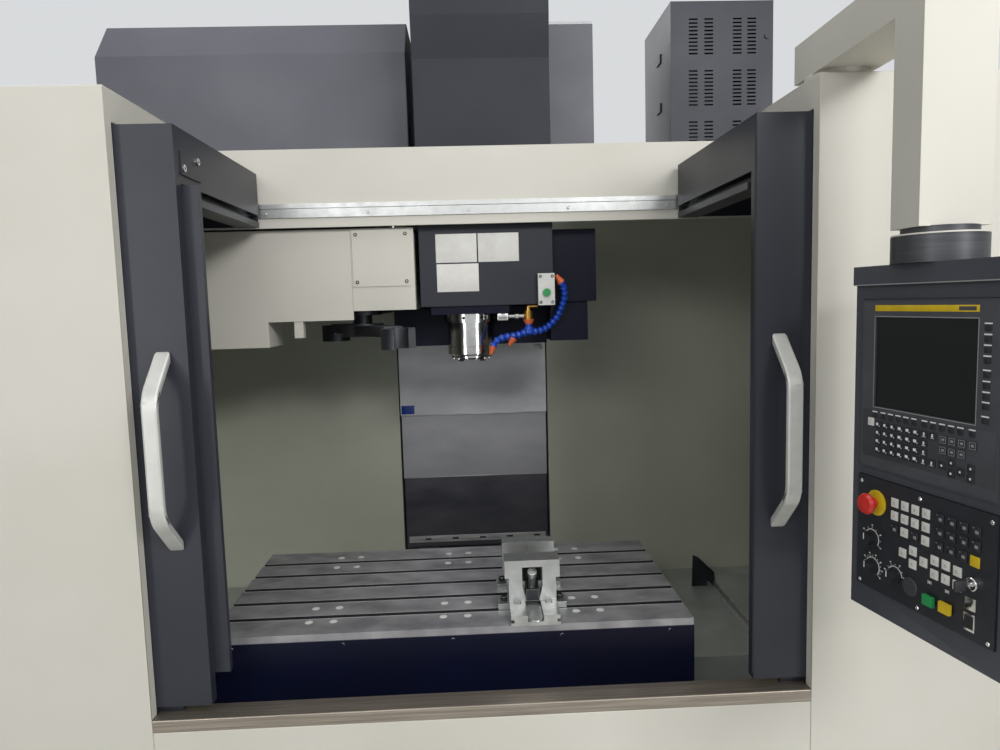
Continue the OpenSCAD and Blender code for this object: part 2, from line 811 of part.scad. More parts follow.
module vise_screw() {
    color("#3c3e40") screw_place() {
        translate([0, 0, -52]) cylinder(r = 9, h = 53);
        difference() {
            cylinder(r = 12, h = 15);
            translate([0, 0, 7]) cylinder(d = 12, h = 9, $fn = 6);
        }
    }
}

module vise_clamps() {
    color("#b3b5b4") for (s = [0, 1], y = [126, 262])
        translate([vx, vise_y0 + y, table_z]) mirror([s, 0, 0]) translate([vise_w / 2, 0, 0]) {
            span([fit, -26, 0], [28, 26, 16]);
            span([-7.7, -20, 8.2], [fit + 1, 20, 15.4]);
            translate([12, 0, 15.9]) cap_screw(11);
        }
}

// Head

module head_casting() {
    color(navy) difference() {
        union() {
            span([-block_hw, block_y, block_z], [block_hw, skirt_y + 10, cast_top]);
            span([-140, skirt_y, cast_z], [140, rear_y, cast_top]);
            span([-cast_hw, skirt_y, cast_z], [cast_hw, rear_y, cover_z - 6]);
            span([-cast_hw, rear_y - 1, cast_z], [cast_hw, 562, cast_top]);
            span([-290, 560, cast_z + 8], [290, way_y - fit, cast_top + 40]);
            // plate that carries the cover
            span([cover_x0 + sheet_t + fit, cover_y + sheet_t + fit, cast_top - 1],
                [cover_x1 - sheet_t - fit, cover_back - sheet_t - fit, cast_top + 8]);
            for (s = [-1, 1]) span([s > 0 ? way_x + way_hw + fit : -290, 600, cast_z + 60],
                [s > 0 ? 290 : -way_x - way_hw - fit, way_y + 22, cast_top + 20]);
        }
        translate([0, 0, block_z - 1]) cylinder(r = nose_r - 2, h = 220);
        translate([0, 0, cast_z - 1]) cylinder(r = nose_r + 14, h = block_z - cast_z + 1);
        // core pockets between the side ribs of the rear block
        for (s = [-1, 1]) translate([s * cast_hw, 480, 1750]) cube([120, 110, 260], center = true);
    }
}

module head_profile(i) {
    polygon([[cover_y + i, cover_z], [cover_y + i, 2416], [cover_y - 22 + i, 2534],
        [cover_y - 22 + i, cover_top_z - i], [cover_back - i, cover_top_z - i], [cover_back - i, cover_z]]);
}

module head_cover() {
    t = sheet_t;
    color(slate) difference() {
        along_x(cover_x0, cover_x1) head_profile(0);
        along_x(cover_x0 + t, cover_x1 - t) intersection() {
            head_profile(t);
            translate([-300, cover_z + t]) square([1000, 2000]);
        }
        // floor opening over the spindle block, open to the back
        span([-142, block_y - 2, cover_z - 1], [142, cover_back + 1, cover_z + t + 1]);
        span([-142, cover_back - t - 1, cover_z - 1], [142, cover_back + 1, cast_top + 2]);
    }
}

module spindle_motor() {
    color("#4b4e52") {
        translate([0, 0, cast_top + 8]) cylinder(d = 200, h = 24);
        translate([-90, -90, cast_top + 31]) cube([180, 180, 330]);
        translate([0, 0, cast_top + 360]) cylinder(d = 160, h = 70);
    }
}

module head_side_box() {
    z1 = 1916;
    color(navy) difference() {
        union() {
            span([cover_x1 + 4, -72, 1692], [396, 200, z1]);
            span([cast_hw, -60, 1570], [370, 200, cover_z - 1]);
            span([cover_x1 + 4, -60, cover_z - 2], [370, 200, 1693]);
        }
        span([cover_x1 + 30, 60, 1690], [380, 201, z1 - 12]);
    }
}

release_x = 233;
module tool_release_box() {
    color("#e6e6e2") difference() {
        span([release_x - 25, cover_y - 22, 1683], [release_x + 25, cover_y, 1779]);
        rod_y([release_x, cover_y - 23, 1721], 9.3, 19);
    }
    color(steel) for (x = [-18, 18], z = [1692, 1770])
        translate([release_x + x, cover_y - 22, z]) rotate([90, 0, 0]) cylinder(d = 8, h = 1.5);
}

module tool_release_button() {
    color("#2f8f5b") {
        rod_y([release_x, cover_y - 29, 1721], 9, 20);
        rod_y([release_x, cover_y - 29, 1721], 12, 3);
    }
}

valve_y = -90;
valve_x = 180;
module coolant_valve() {
    color("#b9bbb8") {
        span([84, valve_y - 12, 1640], [116, valve_y + 16, block_z]);
        rod_x([115, valve_y, 1652], 7, 52);
        rod_x([138, valve_y, 1652], 10, 12);
    }
    color("#b8924a") {
        translate([valve_x, valve_y, 1640]) cylinder(r = 14, h = 26);
        translate([valve_x, valve_y, 1666]) cylinder(r = 9, h = 14);
        translate([valve_x - 2, valve_y - 12, 1678]) cube([30, 12, 5]);
    }
    color("#c8622e") translate([valve_x, valve_y, 1626]) cylinder(r1 = 10, r2 = 17, h = 14);
}

// Segmented hoses: each link has a ball that sits in the socket of the next
hose_a = [[176, -90, 1604], [154, -92, 1594], [128, -96, 1590],
    [100, -99, 1588], [78, -101, 1579], [66, -102, 1560]];
hose_b = [[186, -90, 1602], [210, -89, 1602], [232, -88, 1610], [256, -92, 1629], [272, -94, 1650],
    [284, -97, 1678], [292, -103, 1704], [291, -110, 1732], [280, -117, 1752]];
link_pitch = 16;
hose_r = 11.5;
function dist(a, b) = norm(b - a);
function lengths(p, i = 0, s = 0) = i == len(p) - 1 ? [s] :
    concat([s], lengths(p, i + 1, s + dist(p[i], p[i + 1])));
function point_at(p, l, s, i = 0) = i >= len(p) - 2 || s <= l[i + 1] ?
    p[i] + (p[i + 1] - p[i]) * (s - l[i]) / (l[i + 1] - l[i]) : point_at(p, l, s, i + 1);
module hose_link(a, b) {
    d = b - a;
    n = norm(d);
    translate(a) rotate([0, acos(d[2] / n), atan2(d[1], d[0])])
        rotate_extrude($fn = 24) polygon([[0, -0.6], [8, -0.6], [9.3, 3], [6.8, 5.5], [9, 7.8],
            [hose_r, 9.6], [hose_r, n - 0.4], [0, n - 0.4]]);
}
module hose(p) {
    l = lengths(p);
    total = l[len(p) - 1];
    n = floor(total / link_pitch);
    for (i = [0:n - 1])
        hose_link(point_at(p, l, i * total / n), point_at(p, l, (i + 1) * total / n));
}
module nozzle(at, dir) {
    n = norm(dir);
    color("#d9682c") translate(at) rotate([0, acos(dir[2] / n), atan2(dir[1], dir[0])])
        cylinder(r1 = hose_r, r2 = 4.5, h = 26);
}
module coolant_hoses() {
    color("#1f4fc4") {
        hose(hose_a);
        hose(hose_b);
        // tee below the valve
        translate([valve_x, valve_y, 1592]) rotate_extrude($fn = 32) polygon([[0, 0], [9, 0],
            [16, 6], [16, 20], [10, 28], [10, 34 - fit], [0, 34 - fit]]);
    }
    // spare nozzle under the first hose
    nozzle([131, -97, 1583], [-15, 0, -23]);
    nozzle(hose_a[5], [-6, 0, -22]);
    nozzle(hose_b[8], [-14, -4, 20]);
}

module spindle_housing() {
    r = nose_r;
    color(bright) rotate_extrude() polygon([[46, nose_z + 6], [r - 9, nose_z + 6],
        [r - 9, nose_z + 12], [r - 4, nose_z + 14], [r, nose_z + 18], [r, nose_z + 40],
        [r - 1.5, nose_z + 41], [r - 1.5, nose_z + 44], [r, nose_z + 45],
        [r, flange_z], [r + 10, flange_z], [r + 10, block_z - fit / 3],
        [r - 2.3, block_z - fit / 3], [r - 2.3, block_z + 200], [46, block_z + 200]]);
    color(black) for (a = [15:30:345]) rotate([0, 0, a])
        translate([r - 17, 0, nose_z + 6]) rotate([180, 0, 0]) cylinder(d = 9, h = 5);
}

module spindle_shaft() {
    nose = nose_z;
    tip = taper_r - taper_l * 7 / 48;
    color("#7b7d7f") {
        difference() {
            rotate_extrude() polygon([[taper_r, nose], [44, nose], [44, nose + 20], [46 - run, nose + 20],
                [46 - run, block_z + 190], [0, block_z + 190], [0, nose + taper_l], [tip, nose + taper_l]]);
            for (s = [0, 1]) rotate([0, 0, 180 * s])
                translate([24, -8, nose - 1]) cube([30, 16, 10]);
        }
        for (s = [0, 1]) rotate([0, 0, 180 * s])
            translate([25, -7.95, nose - 8]) cube([18, 15.9, 17]);
    }
}

// Tool changer

module changer_arm() {
    z1 = arm_z - 6;
    color("#3c3d3f") translate([shaft_x, 0, 0]) rotate([0, 0, -arm_park]) difference() {
        union() {
            translate([0, 0, z1 - 40]) cylinder(r = 66, h = 40);
            for (a = [0, 180]) rotate([0, 0, a]) {
                translate([40, 0, z1 - 34]) linear_extrude(30) polygon([[0, -44], [arm_r - 92, -28],
                    [arm_r - 92, 28], [0, 44]]);
                translate([arm_r, 0, z1 - grip_h]) difference() {
                    union() {
                        cylinder(r = 52, h = grip_h - 8);
                        translate([-70, -26, 24]) cube([50, 52, grip_h - 32]);
                    }
                    translate([0, 0, -1]) cylinder(r = 31.5, h = grip_h);
                    translate([-10, -31, -1]) cube([100, 31 + 60, grip_h]);
                }
            }
            translate([0, 0, z1]) cylinder(r = 30, h = 100);
        }
        translate([0, 0, z1 - 41]) cylinder(r = 10, h = 20);
    }
}

pot_len = 92;
disc_y = magazine_y0 + 150;
module magazine_disc() {
    color("#4a4d50") difference() {
        union() {
            rod_y([magazine_x, disc_y, magazine_z], pot_circle_r + 22, 18);
            rod_y([magazine_x, disc_y - 30, magazine_z], 90, 60);
            rod_y([magazine_x, disc_y + 18, magazine_z], 45, magazine_y1 - sheet_t - fit - disc_y - 18);
        }
        for (i = [0:5]) rotate_about_magazine(i * 60) translate([190, 0, 0])
            rod_y([0, disc_y - 1, 0], 62, 20);
    }
}

module rotate_about_magazine(a) {
    translate([magazine_x, 0, magazine_z]) rotate([0, a, 0]) children();
}

module tool_pots() {
    color("#d8d6cf") for (i = [0:pot_n - 1]) rotate_about_magazine(i * 360 / pot_n)
        translate([pot_circle_r, 0, 0]) difference() {
            rod_y([0, disc_y - pot_len, 0], 34, pot_len);
            rod_y([0, disc_y - pot_len - 1, 0], 24, 70);
        }
}

// Doors

// A left door is drawn with its meeting edge at x = 0 and the leaf to the left
module door_leaf(stile) {
    channel_y0 = stile == 1 ? stile_y - 1 : stile_y + 22;
    difference() {
        union() {
            span([-door_w, door_y, door_bottom], [0, door_y + door_t, door_top]);
            // roof leaf with its web and the channel below it
            span([-door_w, door_y + door_t - 1, door_top - 4], [0, roof_leaf_end, door_top]);
            span([-36, door_y + door_t - 1, channel_z + 35], [0, roof_leaf_end, door_top - 3]);
            span([-60, channel_y0, channel_z], [-24, roof_leaf_end, channel_z + 36]);
            span([-60, channel_y0, channel_z], [0, roof_leaf_end, channel_z + 16]);
            // hanger plate in front of the header
            span([-door_w, roof_leaf_end - 4, header_z + 2], [-2, roof_leaf_end, door_top - 1]);
            // inner stile behind the leaf's edge
            span([stile == 1 ? -60 : -110, stile_y - 1, 875],
                [stile == 1 ? 0 : -stile_w - 8, stile_y + 18, channel_z + 1]);
            if (stile == 1)
                span([-1, stile_y + 2, 875], [stile_w, stile_y + 18, channel_z + 32]);
            // guides on the header's rail
            for (x = [-door_w + 60, -90])
                span([x, roof_leaf_end - 1, rail_z + fit], [x + 70, header_y - fit, rail_z + 32]);
            // guide shoes on the sill's track
            for (x = [-door_w + 60, -160])
                span([x, front_y + sill_d + 4, sill_z - 10 + fit],
                    [x + 90, door_y + door_t - 2, door_bottom + 1]);
        }
        // open underside of the channel
        span([-33, door_y + door_t + 20, channel_z + 34], [-3, roof_leaf_end + 1, door_top - 6]);
        // window opening
        span([-door_w + window_x, door_y - 1, window_z],
            [-door_w + window_x + window_w, door_y + door_t + 1, window_z + window_h]);
    }
}

module door_pane() {
    m = fit;
    x0 = -door_w + window_x + m;
    span([x0, door_y + 8, window_z + m], [x0 + window_w - 2 * m, door_y + 16, window_z + window_h - m]);
}

grip_w = 34;
grip_t = 14;
bend_r = 70;
bend_a = 45;
// Side view of the bowed handle, its ends swept back to the door; the door's face is at 0
grip_reach = handle_reach - grip_t / 2;
grip_rise = bend_r * sin(bend_a) + (grip_reach - bend_r * (1 - cos(bend_a))) / tan(bend_a);
grip_half = handle_l / 2 - grip_t / 2 / sin(bend_a) - grip_rise;
// One edge of the upper bend at radius r, with its end on the door's face
function bend_arc(r) = [for (a = [0:bend_a / 10:bend_a])
    [bend_r - grip_reach - r * cos(a), grip_half + r * sin(a)]];
function bend_foot(r) = [0, grip_half + r * sin(bend_a)
    - (bend_r - grip_reach - r * cos(bend_a)) / tan(bend_a)];
function bend_edge(r) = concat(bend_arc(r), [bend_foot(r)]);
function backward(p) = [for (i = [len(p) - 1:-1:0]) p[i]];
function below(p) = [for (q = p) [q[0], -q[1]]];
module door_grip() {
    inner = bend_edge(bend_r - grip_t / 2);
    outer = bend_edge(bend_r + grip_t / 2);
    along_x(-grip_w / 2, grip_w / 2)
        polygon(concat(inner, backward(outer), below(outer), backward(below(inner))));
}

module left_door() {
    color(navy) translate([opening_x - door_edge, 0, 0]) door_leaf(1);
    // thin bracket with two bolts on the web, near its front corner
    color(navy) translate([opening_x - door_edge - 0.5, stile_y, door_top - 99]) {
        cube([5, 114, 6]);
        cube([3, 66, 50]);
    }
    color(bright) for (c = [[15, 15], [99, 44]])
        rod_x([opening_x - door_edge, stile_y + c[0], door_top - 99 + c[1]], 8, 5);
}
module left_door_window() {
    color([0.55, 0.62, 0.62, 0.5]) translate([opening_x - door_edge, 0, 0]) door_pane();
}
module left_door_handle() {
    color("#d5d5d0") translate([opening_x - door_edge - handle_in, door_y, handle_z]) door_grip();
}
module right_door() {
    color(navy) translate([opening_x + door_edge, 0, 0]) mirror([1, 0, 0]) door_leaf(0);
}
module right_door_window() {
    color([0.55, 0.62, 0.62, 0.5]) translate([opening_x + door_edge, 0, 0]) mirror([1, 0, 0]) door_pane();
}
module right_door_handle() {
    color("#d5d5d0") translate([opening_x + door_edge + handle_in, door_y, handle_z]) door_grip();
}

// Pendant

module pendant_arm() {
    x0 = pivot_x - arm_w / 2;
    x1 = pivot_x + arm_w / 2;
    y0 = drop_y - arm_h / 2;
    color(shell) {
        // box section arm with its drop, drawn in Y and Z
        along_x(x0, x1) polygon([[pivot_y + 70, arm_bottom], [pivot_y + 70, arm_top],
            [y0, arm_top], [y0, drop_z], [y0 + arm_h, drop_z], [y0 + arm_h, arm_bottom]]);
        translate([pivot_x, pivot_y, encl_top_z + fit]) cylinder(r = 66, h = arm_bottom - encl_top_z);
    }
    color("#4d4f50") translate([pivot_x, drop_y, pend_top + fit])
        cylinder(d = collar_d, h = collar_z - pend_top + 1);
    color("#6c6e6e") translate([pivot_x, drop_y, collar_z]) cylinder(d = collar_d * 0.8, h = 13);
}

// Frame of the pendant: u along its face, v to its back, z up
module pendant_frame() {
    translate([pivot_x, drop_y, 0]) rotate([0, 0, -pend_turn]) children();
}

// A block on the pendant's face: u, top edge, width, height, standing proud by p
module face_block(u, z, w, h, p, base = 0) {
    translate([u, face_v - base - p, z - h]) cube([w, p, h]);
}

module pendant_box() {
    color(slate) pendant_frame() {
        difference() {
            translate([face_u0, face_v, pend_top - pend_h]) cube([pend_w, pend_d, pend_h]);
            // cable hollow in the back and shallow seats for the two panels
            translate([face_u0 + 20, face_v + pend_d - 14, pend_top - pend_h + 60])
                cube([pend_w - 40, 15, pend_h - 120]);
            translate([unit_u - 1, face_v - 1, unit_top - unit_h - 1]) cube([unit_w + 2, 3, unit_h + 2]);
            translate([unit_u - 1, face_v - 1, op_top - op_h - 1]) cube([unit_w + 2, 3, op_h + 2]);
            for (p = control_places) translate([unit_u + p[0], face_v - 1, op_top - p[1]])
                rotate([-90, 0, 0]) cylinder(r = 6 + fit, h = 16);
        }
        // hood over the display
        face_block(face_u0, pend_top, pend_w, 34, 8);
    }
}

module display_unit() {
    u1 = unit_u + unit_w;
    color("#23252a") pendant_frame() difference() {
        translate([unit_u, face_v - plate_t, unit_top - unit_h]) cube([unit_w, plate_t + 2, unit_h]);
        translate([lcd_u, face_v - plate_t - 1, lcd_top - lcd_h]) cube([lcd_w, 4, lcd_h]);
    }
    color("#d8b621") pendant_frame() face_block(lcd_u - 2, lcd_top + 22, lcd_w + 4, 11, 0.6, plate_t);
    color("#d9d8d2") pendant_frame() {
        for (i = [0:8]) face_block(u1 - 38, lcd_top - 2 - i * 17, 12, 10, 2, plate_t);
        for (i = [0:11]) face_block(lcd_u - 2 + i * 20, lcd_top - lcd_h - 12, 13, 9, 2, plate_t);
    }
    color("#3a3d42") pendant_frame() {
        for (i = [0:7], j = [0:3])
            face_block(unit_u + 14 + i * 19, lcd_top - lcd_h - 36 - j * 20, 14, 14, 2.5, plate_t);
        for (i = [0:4], j = [0:3])
            face_block(unit_u + 180 + i * 24, lcd_top - lcd_h - 36 - j * 20, 18, 14, 2.5, plate_t);
    }
}

// Places on the operator panel, from its left edge and from its top edge
estop_at = [50, 46];
mode_at = [40, 118];
feed_at = [43, 172];
spindle_at = [100, 170];
start_at = [185, 182];
hold_at = [220, 181];
control_places = [estop_at, mode_at, feed_at, spindle_at, start_at, hold_at];
module op_place(p) {
    pendant_frame() translate([unit_u + p[0], face_v - plate_t, op_top - p[1]])
        rotate([90, 0, 0]) children();
}

module operator_panel() {
    color("#23252a") pendant_frame() difference() {
        translate([unit_u, face_v - plate_t, op_top - op_h]) cube([unit_w, plate_t + 2, op_h]);
        for (p = control_places)
            translate([unit_u + p[0], face_v - plate_t - 1, op_top - p[1]]) rotate([-90, 0, 0])
                cylinder(r = 6 + fit, h = plate_t + 4);
    }
    color("#dcdcd6") {
        for (i = [0:3], j = [0:2]) op_place([97 + i * key_pitch, 34 + j * key_pitch]) key_cap();
        for (p = [[122, 124], [146, 136], [169, 123], [192, 112], [193, 137], [240, 113], [240, 138]])
            op_place(p) key_cap();
    }
    color("#34373c") for (i = [0:3], j = [0:2])
        op_place([199 + i * key_pitch, 34 + j * key_pitch]) key_cap();
    color("#e5c51f") op_place(estop_at) difference() {
        cylinder(d = 46, h = 2);
        translate([0, 0, -1]) cylinder(r = 6 + fit, h = 4);
    }
    color("#17181a") op_place([147, 176]) cylinder(d = 20, h = 3);
    color("#c5c7c6") {
        op_place([272, 144]) cylinder(d = 22, h = 7);
        op_place([270, 184]) translate([-9, -12, 0]) cube([18, 24, 2.5]);
        for (x = [10, 154, 298], z = [12, op_h - 8]) op_place([x, z]) cylinder(d = 7, h = 1.5);
    }
}
module key_cap() {
    translate([-key / 2, -key / 2, 0]) cube([key, key, 2.5]);
}

// A control's stem sits in the panel; its head starts a running gap above the face
module stem() {
    translate([0, 0, -5]) cylinder(r = 6, h = 6 + fit);
}
module emergency_stop() {
    color("#d8262a") op_place(estop_at) {
        translate([0, 0, -5]) cylinder(r = 6, h = 14);
        rotate_extrude() polygon([[0, 8], [11, 8], [11, 17], [19, 19], [20, 23], [17, 29], [0, 32]]);
    }
}
module knob() {
    stem();
    translate([0, 0, fit]) cylinder(r = 15, h = 5);
    translate([0, 0, 5]) cylinder(r = 11.5, h = 13);
    translate([-2, 0, 5]) cube([4, 13, 14]);
}
module mode_knob() {
    color(black) op_place(mode_at) knob();
}
module feed_knob() {
    color(black) op_place(feed_at) knob();
}
module spindle_knob() {
    color(black) op_place(spindle_at) knob();
}
module push_button() {
    stem();
    translate([-11, -9, 4]) cube([22, 18, 6]);
    cylinder(r = 6, h = 5);
}
module cycle_start_button() {
    color("#2fae4e") op_place(start_at) push_button();
}
module feed_hold_button() {
    color("#e2b91e") op_place(hold_at) push_button();
}

levelling_pads();
bed();
column();
left_enclosure();
right_enclosure();
front_lower_panel();
door_sill();
header_beam();
guide_rails();
rear_wall();
chip_trays();
magazine_cover();
changer_cover();
changer_access_cover();
changer_gearbox();
electrical_cabinet();
louvre_box();
column_top_cover();
lower_way_cover();
drive_motors();
saddle();
x_servo_motor();
table();
table_plugs();
front_apron();
vise_body();
vise_clamps();
vise_moving_jaw();
vise_screw();
head_casting();
head_cover();
spindle_motor();
head_side_box();
tool_release_box();
tool_release_button();
upper_way_cover();
middle_way_cover();
coolant_valve();
coolant_hoses();
spindle_housing();
spindle_shaft();
changer_arm();
magazine_disc();
tool_pots();
left_door();
left_door_window();
left_door_handle();
right_door();
right_door_window();
right_door_handle();
pendant_arm();
pendant_box();
display_unit();
operator_panel();
emergency_stop();
mode_knob();
feed_knob();
spindle_knob();
cycle_start_button();
feed_hold_button();
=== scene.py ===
"""Looks of the vertical machining centre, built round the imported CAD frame.

The pieces are given in millimetres in the part's own axes: X to the right, Y to the back and Z up,
with the spindle's axis at x = y = 0. Those of the pendant are given in its own frame, before it is
turned to the operator: u across its face, v into it and z up.
"""

import json
import math

import bmesh
import bpy
from mathutils import Matrix, Vector


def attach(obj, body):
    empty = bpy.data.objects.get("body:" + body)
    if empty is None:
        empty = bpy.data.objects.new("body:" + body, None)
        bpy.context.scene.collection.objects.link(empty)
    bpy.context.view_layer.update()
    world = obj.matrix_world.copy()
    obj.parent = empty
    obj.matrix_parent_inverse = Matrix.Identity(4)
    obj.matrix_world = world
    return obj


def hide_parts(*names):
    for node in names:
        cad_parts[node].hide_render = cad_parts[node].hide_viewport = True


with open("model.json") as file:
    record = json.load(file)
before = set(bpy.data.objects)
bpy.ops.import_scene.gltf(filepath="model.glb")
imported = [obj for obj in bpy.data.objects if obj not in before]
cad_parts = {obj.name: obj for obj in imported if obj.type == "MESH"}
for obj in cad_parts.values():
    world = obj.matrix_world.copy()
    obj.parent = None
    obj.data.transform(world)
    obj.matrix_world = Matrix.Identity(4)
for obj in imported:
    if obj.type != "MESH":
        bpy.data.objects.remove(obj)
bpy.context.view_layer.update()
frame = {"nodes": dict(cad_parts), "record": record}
MM = 0.001

# ---------------------------------------------------------------- camera

LENS = 26.28
SENSOR_WIDTH = 36.0
CLIP = (0.02, 100.0)
CAM_PLACE = (0.0031, -2.3610, 1.6939)
YAW = math.radians(2.0970)
PITCH = math.radians(5.6501)
ROLL = -0.028128


def make_camera():
    data = bpy.data.cameras.new("camera")
    data.sensor_fit = "HORIZONTAL"
    data.sensor_width = SENSOR_WIDTH
    data.lens = LENS
    data.clip_start, data.clip_end = CLIP
    cam = bpy.data.objects.new("camera", data)
    bpy.context.scene.collection.objects.link(cam)
    fwd = Vector((math.sin(YAW) * math.cos(PITCH), math.cos(YAW) * math.cos(PITCH),
                  -math.sin(PITCH)))
    right = Vector((math.cos(YAW), -math.sin(YAW), 0.0))
    up = right.cross(fwd)
    axis_x = right * math.cos(ROLL) + up * math.sin(ROLL)
    axis_y = -right * math.sin(ROLL) + up * math.cos(ROLL)
    m = Matrix.Identity(4)
    for row in range(3):
        m[row][0] = axis_x[row]
        m[row][1] = axis_y[row]
        m[row][2] = -fwd[row]
        m[row][3] = CAM_PLACE[row]
    cam.matrix_world = m
    bpy.context.scene.camera = cam


make_camera()

# ---------------------------------------------------------------- light

scene = bpy.context.scene
scene.view_settings.view_transform = "Standard"
scene.view_settings.look = "None"
scene.view_settings.exposure = 0.0

world = bpy.data.worlds.new("studio")
scene.world = world
world.use_nodes = True
SKY_COLOR = (0.86, 0.88, 0.9, 1)
SKY_SEEN = 0.8
SKY_LIGHT = 0.4


def make_sky(tree):
    """A pale backdrop where it is seen or mirrored, and a weaker one for the light it gives."""
    background = tree.nodes["Background"]
    background.inputs["Color"].default_value = SKY_COLOR
    path = tree.nodes.new("ShaderNodeLightPath")
    seen = path.outputs["Is Camera Ray"]
    for ray in ("Is Glossy Ray", "Is Transmission Ray"):
        either = tree.nodes.new("ShaderNodeMath")
        either.operation = "MAXIMUM"
        tree.links.new(seen, either.inputs[0])
        tree.links.new(path.outputs[ray], either.inputs[1])
        seen = either.outputs["Value"]
    strength = tree.nodes.new("ShaderNodeMapRange")
    strength.inputs["To Min"].default_value = SKY_LIGHT
    strength.inputs["To Max"].default_value = SKY_SEEN
    tree.links.new(seen, strength.inputs["Value"])
    tree.links.new(strength.outputs["Result"], background.inputs["Strength"])


make_sky(world.node_tree)

# Each lamp's place, target, size and power, and whether matt surfaces are lit by it too
LAMPS = {
    "key": ((2.4, -4.6, 3.7), (-0.1, 0.0, 1.2), (2.6, 0.8), 145, True),
    "front": ((-1.7, -5.0, 3.4), (0.0, 0.0, 1.3), (2.6, 1.0), 44, True),
    "top": ((0.0, -1.4, 5.0), (0.0, -0.4, 0.0), (3.4, 1.6), 34, True),
    "back": ((-2.5, 4.5, 4.0), (0.0, 0.5, 1.4), (3.0, 2.0), 90, True),
    "glint_left": ((-2.1, -3.4, 1.5), (0.0, 0.0, 1.55), (0.3, 2.0), 22, False),
    "glint_right": ((2.0, -3.4, 1.5), (0.0, 0.0, 1.55), (0.3, 2.0), 22, False),
    "hall_ceiling": ((-1.2, 3.6, 6.2), (-0.4, 0.2, 2.3), (6.0, 3.0), 130, False),
}
for name, (spot, target, size, power, lights_all) in LAMPS.items():
    data = bpy.data.lights.new(name, "AREA")
    data.shape = "RECTANGLE"
    data.size, data.size_y = size
    data.energy = power
    lamp = bpy.data.objects.new(name, data)
    scene.collection.objects.link(lamp)
    lamp.location = spot
    aim = Vector(target) - Vector(spot)
    lamp.rotation_euler = aim.to_track_quat("-Z", "Y").to_euler()
    lamp.visible_camera = False
    lamp.visible_diffuse = lights_all

# ---------------------------------------------------------------- finishes

LOOKS = {}
NOISE_LOW, NOISE_HIGH = 0.35, 0.7       # the noise's values that give a finish its two ends
GRAIN_SCALE = 900.0
GRAIN_DEPTH = 0.001


def lin(code):
    """Linear colour of an sRGB code such as d3d1c6."""
    out = []
    for i in (0, 2, 4):
        c = int(code[i:i + 2], 16) / 255
        out.append(c / 12.92 if c <= 0.04045 else ((c + 0.055) / 1.055) ** 2.4)
    return tuple(out)


def new_material(name):
    m = bpy.data.materials.new(name)
    m.use_nodes = True
    LOOKS[name] = m
    return m.node_tree, m.node_tree.nodes["Principled BSDF"]


def plain(name, color, rough, alpha=1.0):
    bsdf = new_material(name)[1]
    bsdf.inputs["Base Color"].default_value = (*color, 1)
    bsdf.inputs["Roughness"].default_value = rough
    bsdf.inputs["Alpha"].default_value = alpha


def textured(name, light, dark, rough, metal=0.0, scale=(1, 1, 1), detail=4.0, noise=6.0,
             rough_dark=None, bump=0.0, coat=0.0, spec=0.5):
    """A finish that drifts between two colours, and between two glosses if rough_dark is given,
    with a soft noise in the object's own space. bump adds a fine grain."""
    tree, bsdf = new_material(name)
    coord = tree.nodes.new("ShaderNodeTexCoord")
    mapping = tree.nodes.new("ShaderNodeMapping")
    mapping.inputs["Scale"].default_value = scale
    tex = tree.nodes.new("ShaderNodeTexNoise")
    tex.inputs["Scale"].default_value = noise
    tex.inputs["Detail"].default_value = detail
    ramp = tree.nodes.new("ShaderNodeValToRGB")
    ramp.color_ramp.elements[0].position = NOISE_LOW
    ramp.color_ramp.elements[1].position = NOISE_HIGH
    ramp.color_ramp.elements[0].color = (*lin(dark), 1)
    ramp.color_ramp.elements[1].color = (*lin(light), 1)
    tree.links.new(coord.outputs["Object"], mapping.inputs["Vector"])
    tree.links.new(mapping.outputs["Vector"], tex.inputs["Vector"])
    tree.links.new(tex.outputs["Fac"], ramp.inputs["Fac"])
    tree.links.new(ramp.outputs["Color"], bsdf.inputs["Base Color"])
    if rough_dark is None:
        bsdf.inputs["Roughness"].default_value = rough
    else:
        gloss = tree.nodes.new("ShaderNodeMapRange")
        gloss.inputs["From Min"].default_value = NOISE_LOW
        gloss.inputs["From Max"].default_value = NOISE_HIGH
        gloss.inputs["To Min"].default_value = rough_dark
        gloss.inputs["To Max"].default_value = rough
        tree.links.new(tex.outputs["Fac"], gloss.inputs["Value"])
        tree.links.new(gloss.outputs["Result"], bsdf.inputs["Roughness"])
    if bump:
        grain = tree.nodes.new("ShaderNodeTexNoise")
        grain.inputs["Scale"].default_value = GRAIN_SCALE
        grain.inputs["Detail"].default_value = 2.0
        relief = tree.nodes.new("ShaderNodeBump")
        relief.inputs["Strength"].default_value = bump
        relief.inputs["Distance"].default_value = GRAIN_DEPTH
        tree.links.new(coord.outputs["Object"], grain.inputs["Vector"])
        tree.links.new(grain.outputs["Fac"], relief.inputs["Height"])
        tree.links.new(relief.outputs["Normal"], bsdf.inputs["Normal"])
    bsdf.inputs["Metallic"].default_value = metal
    bsdf.inputs["Coat Weight"].default_value = coat
    bsdf.inputs["Specular IOR Level"].default_value = spec


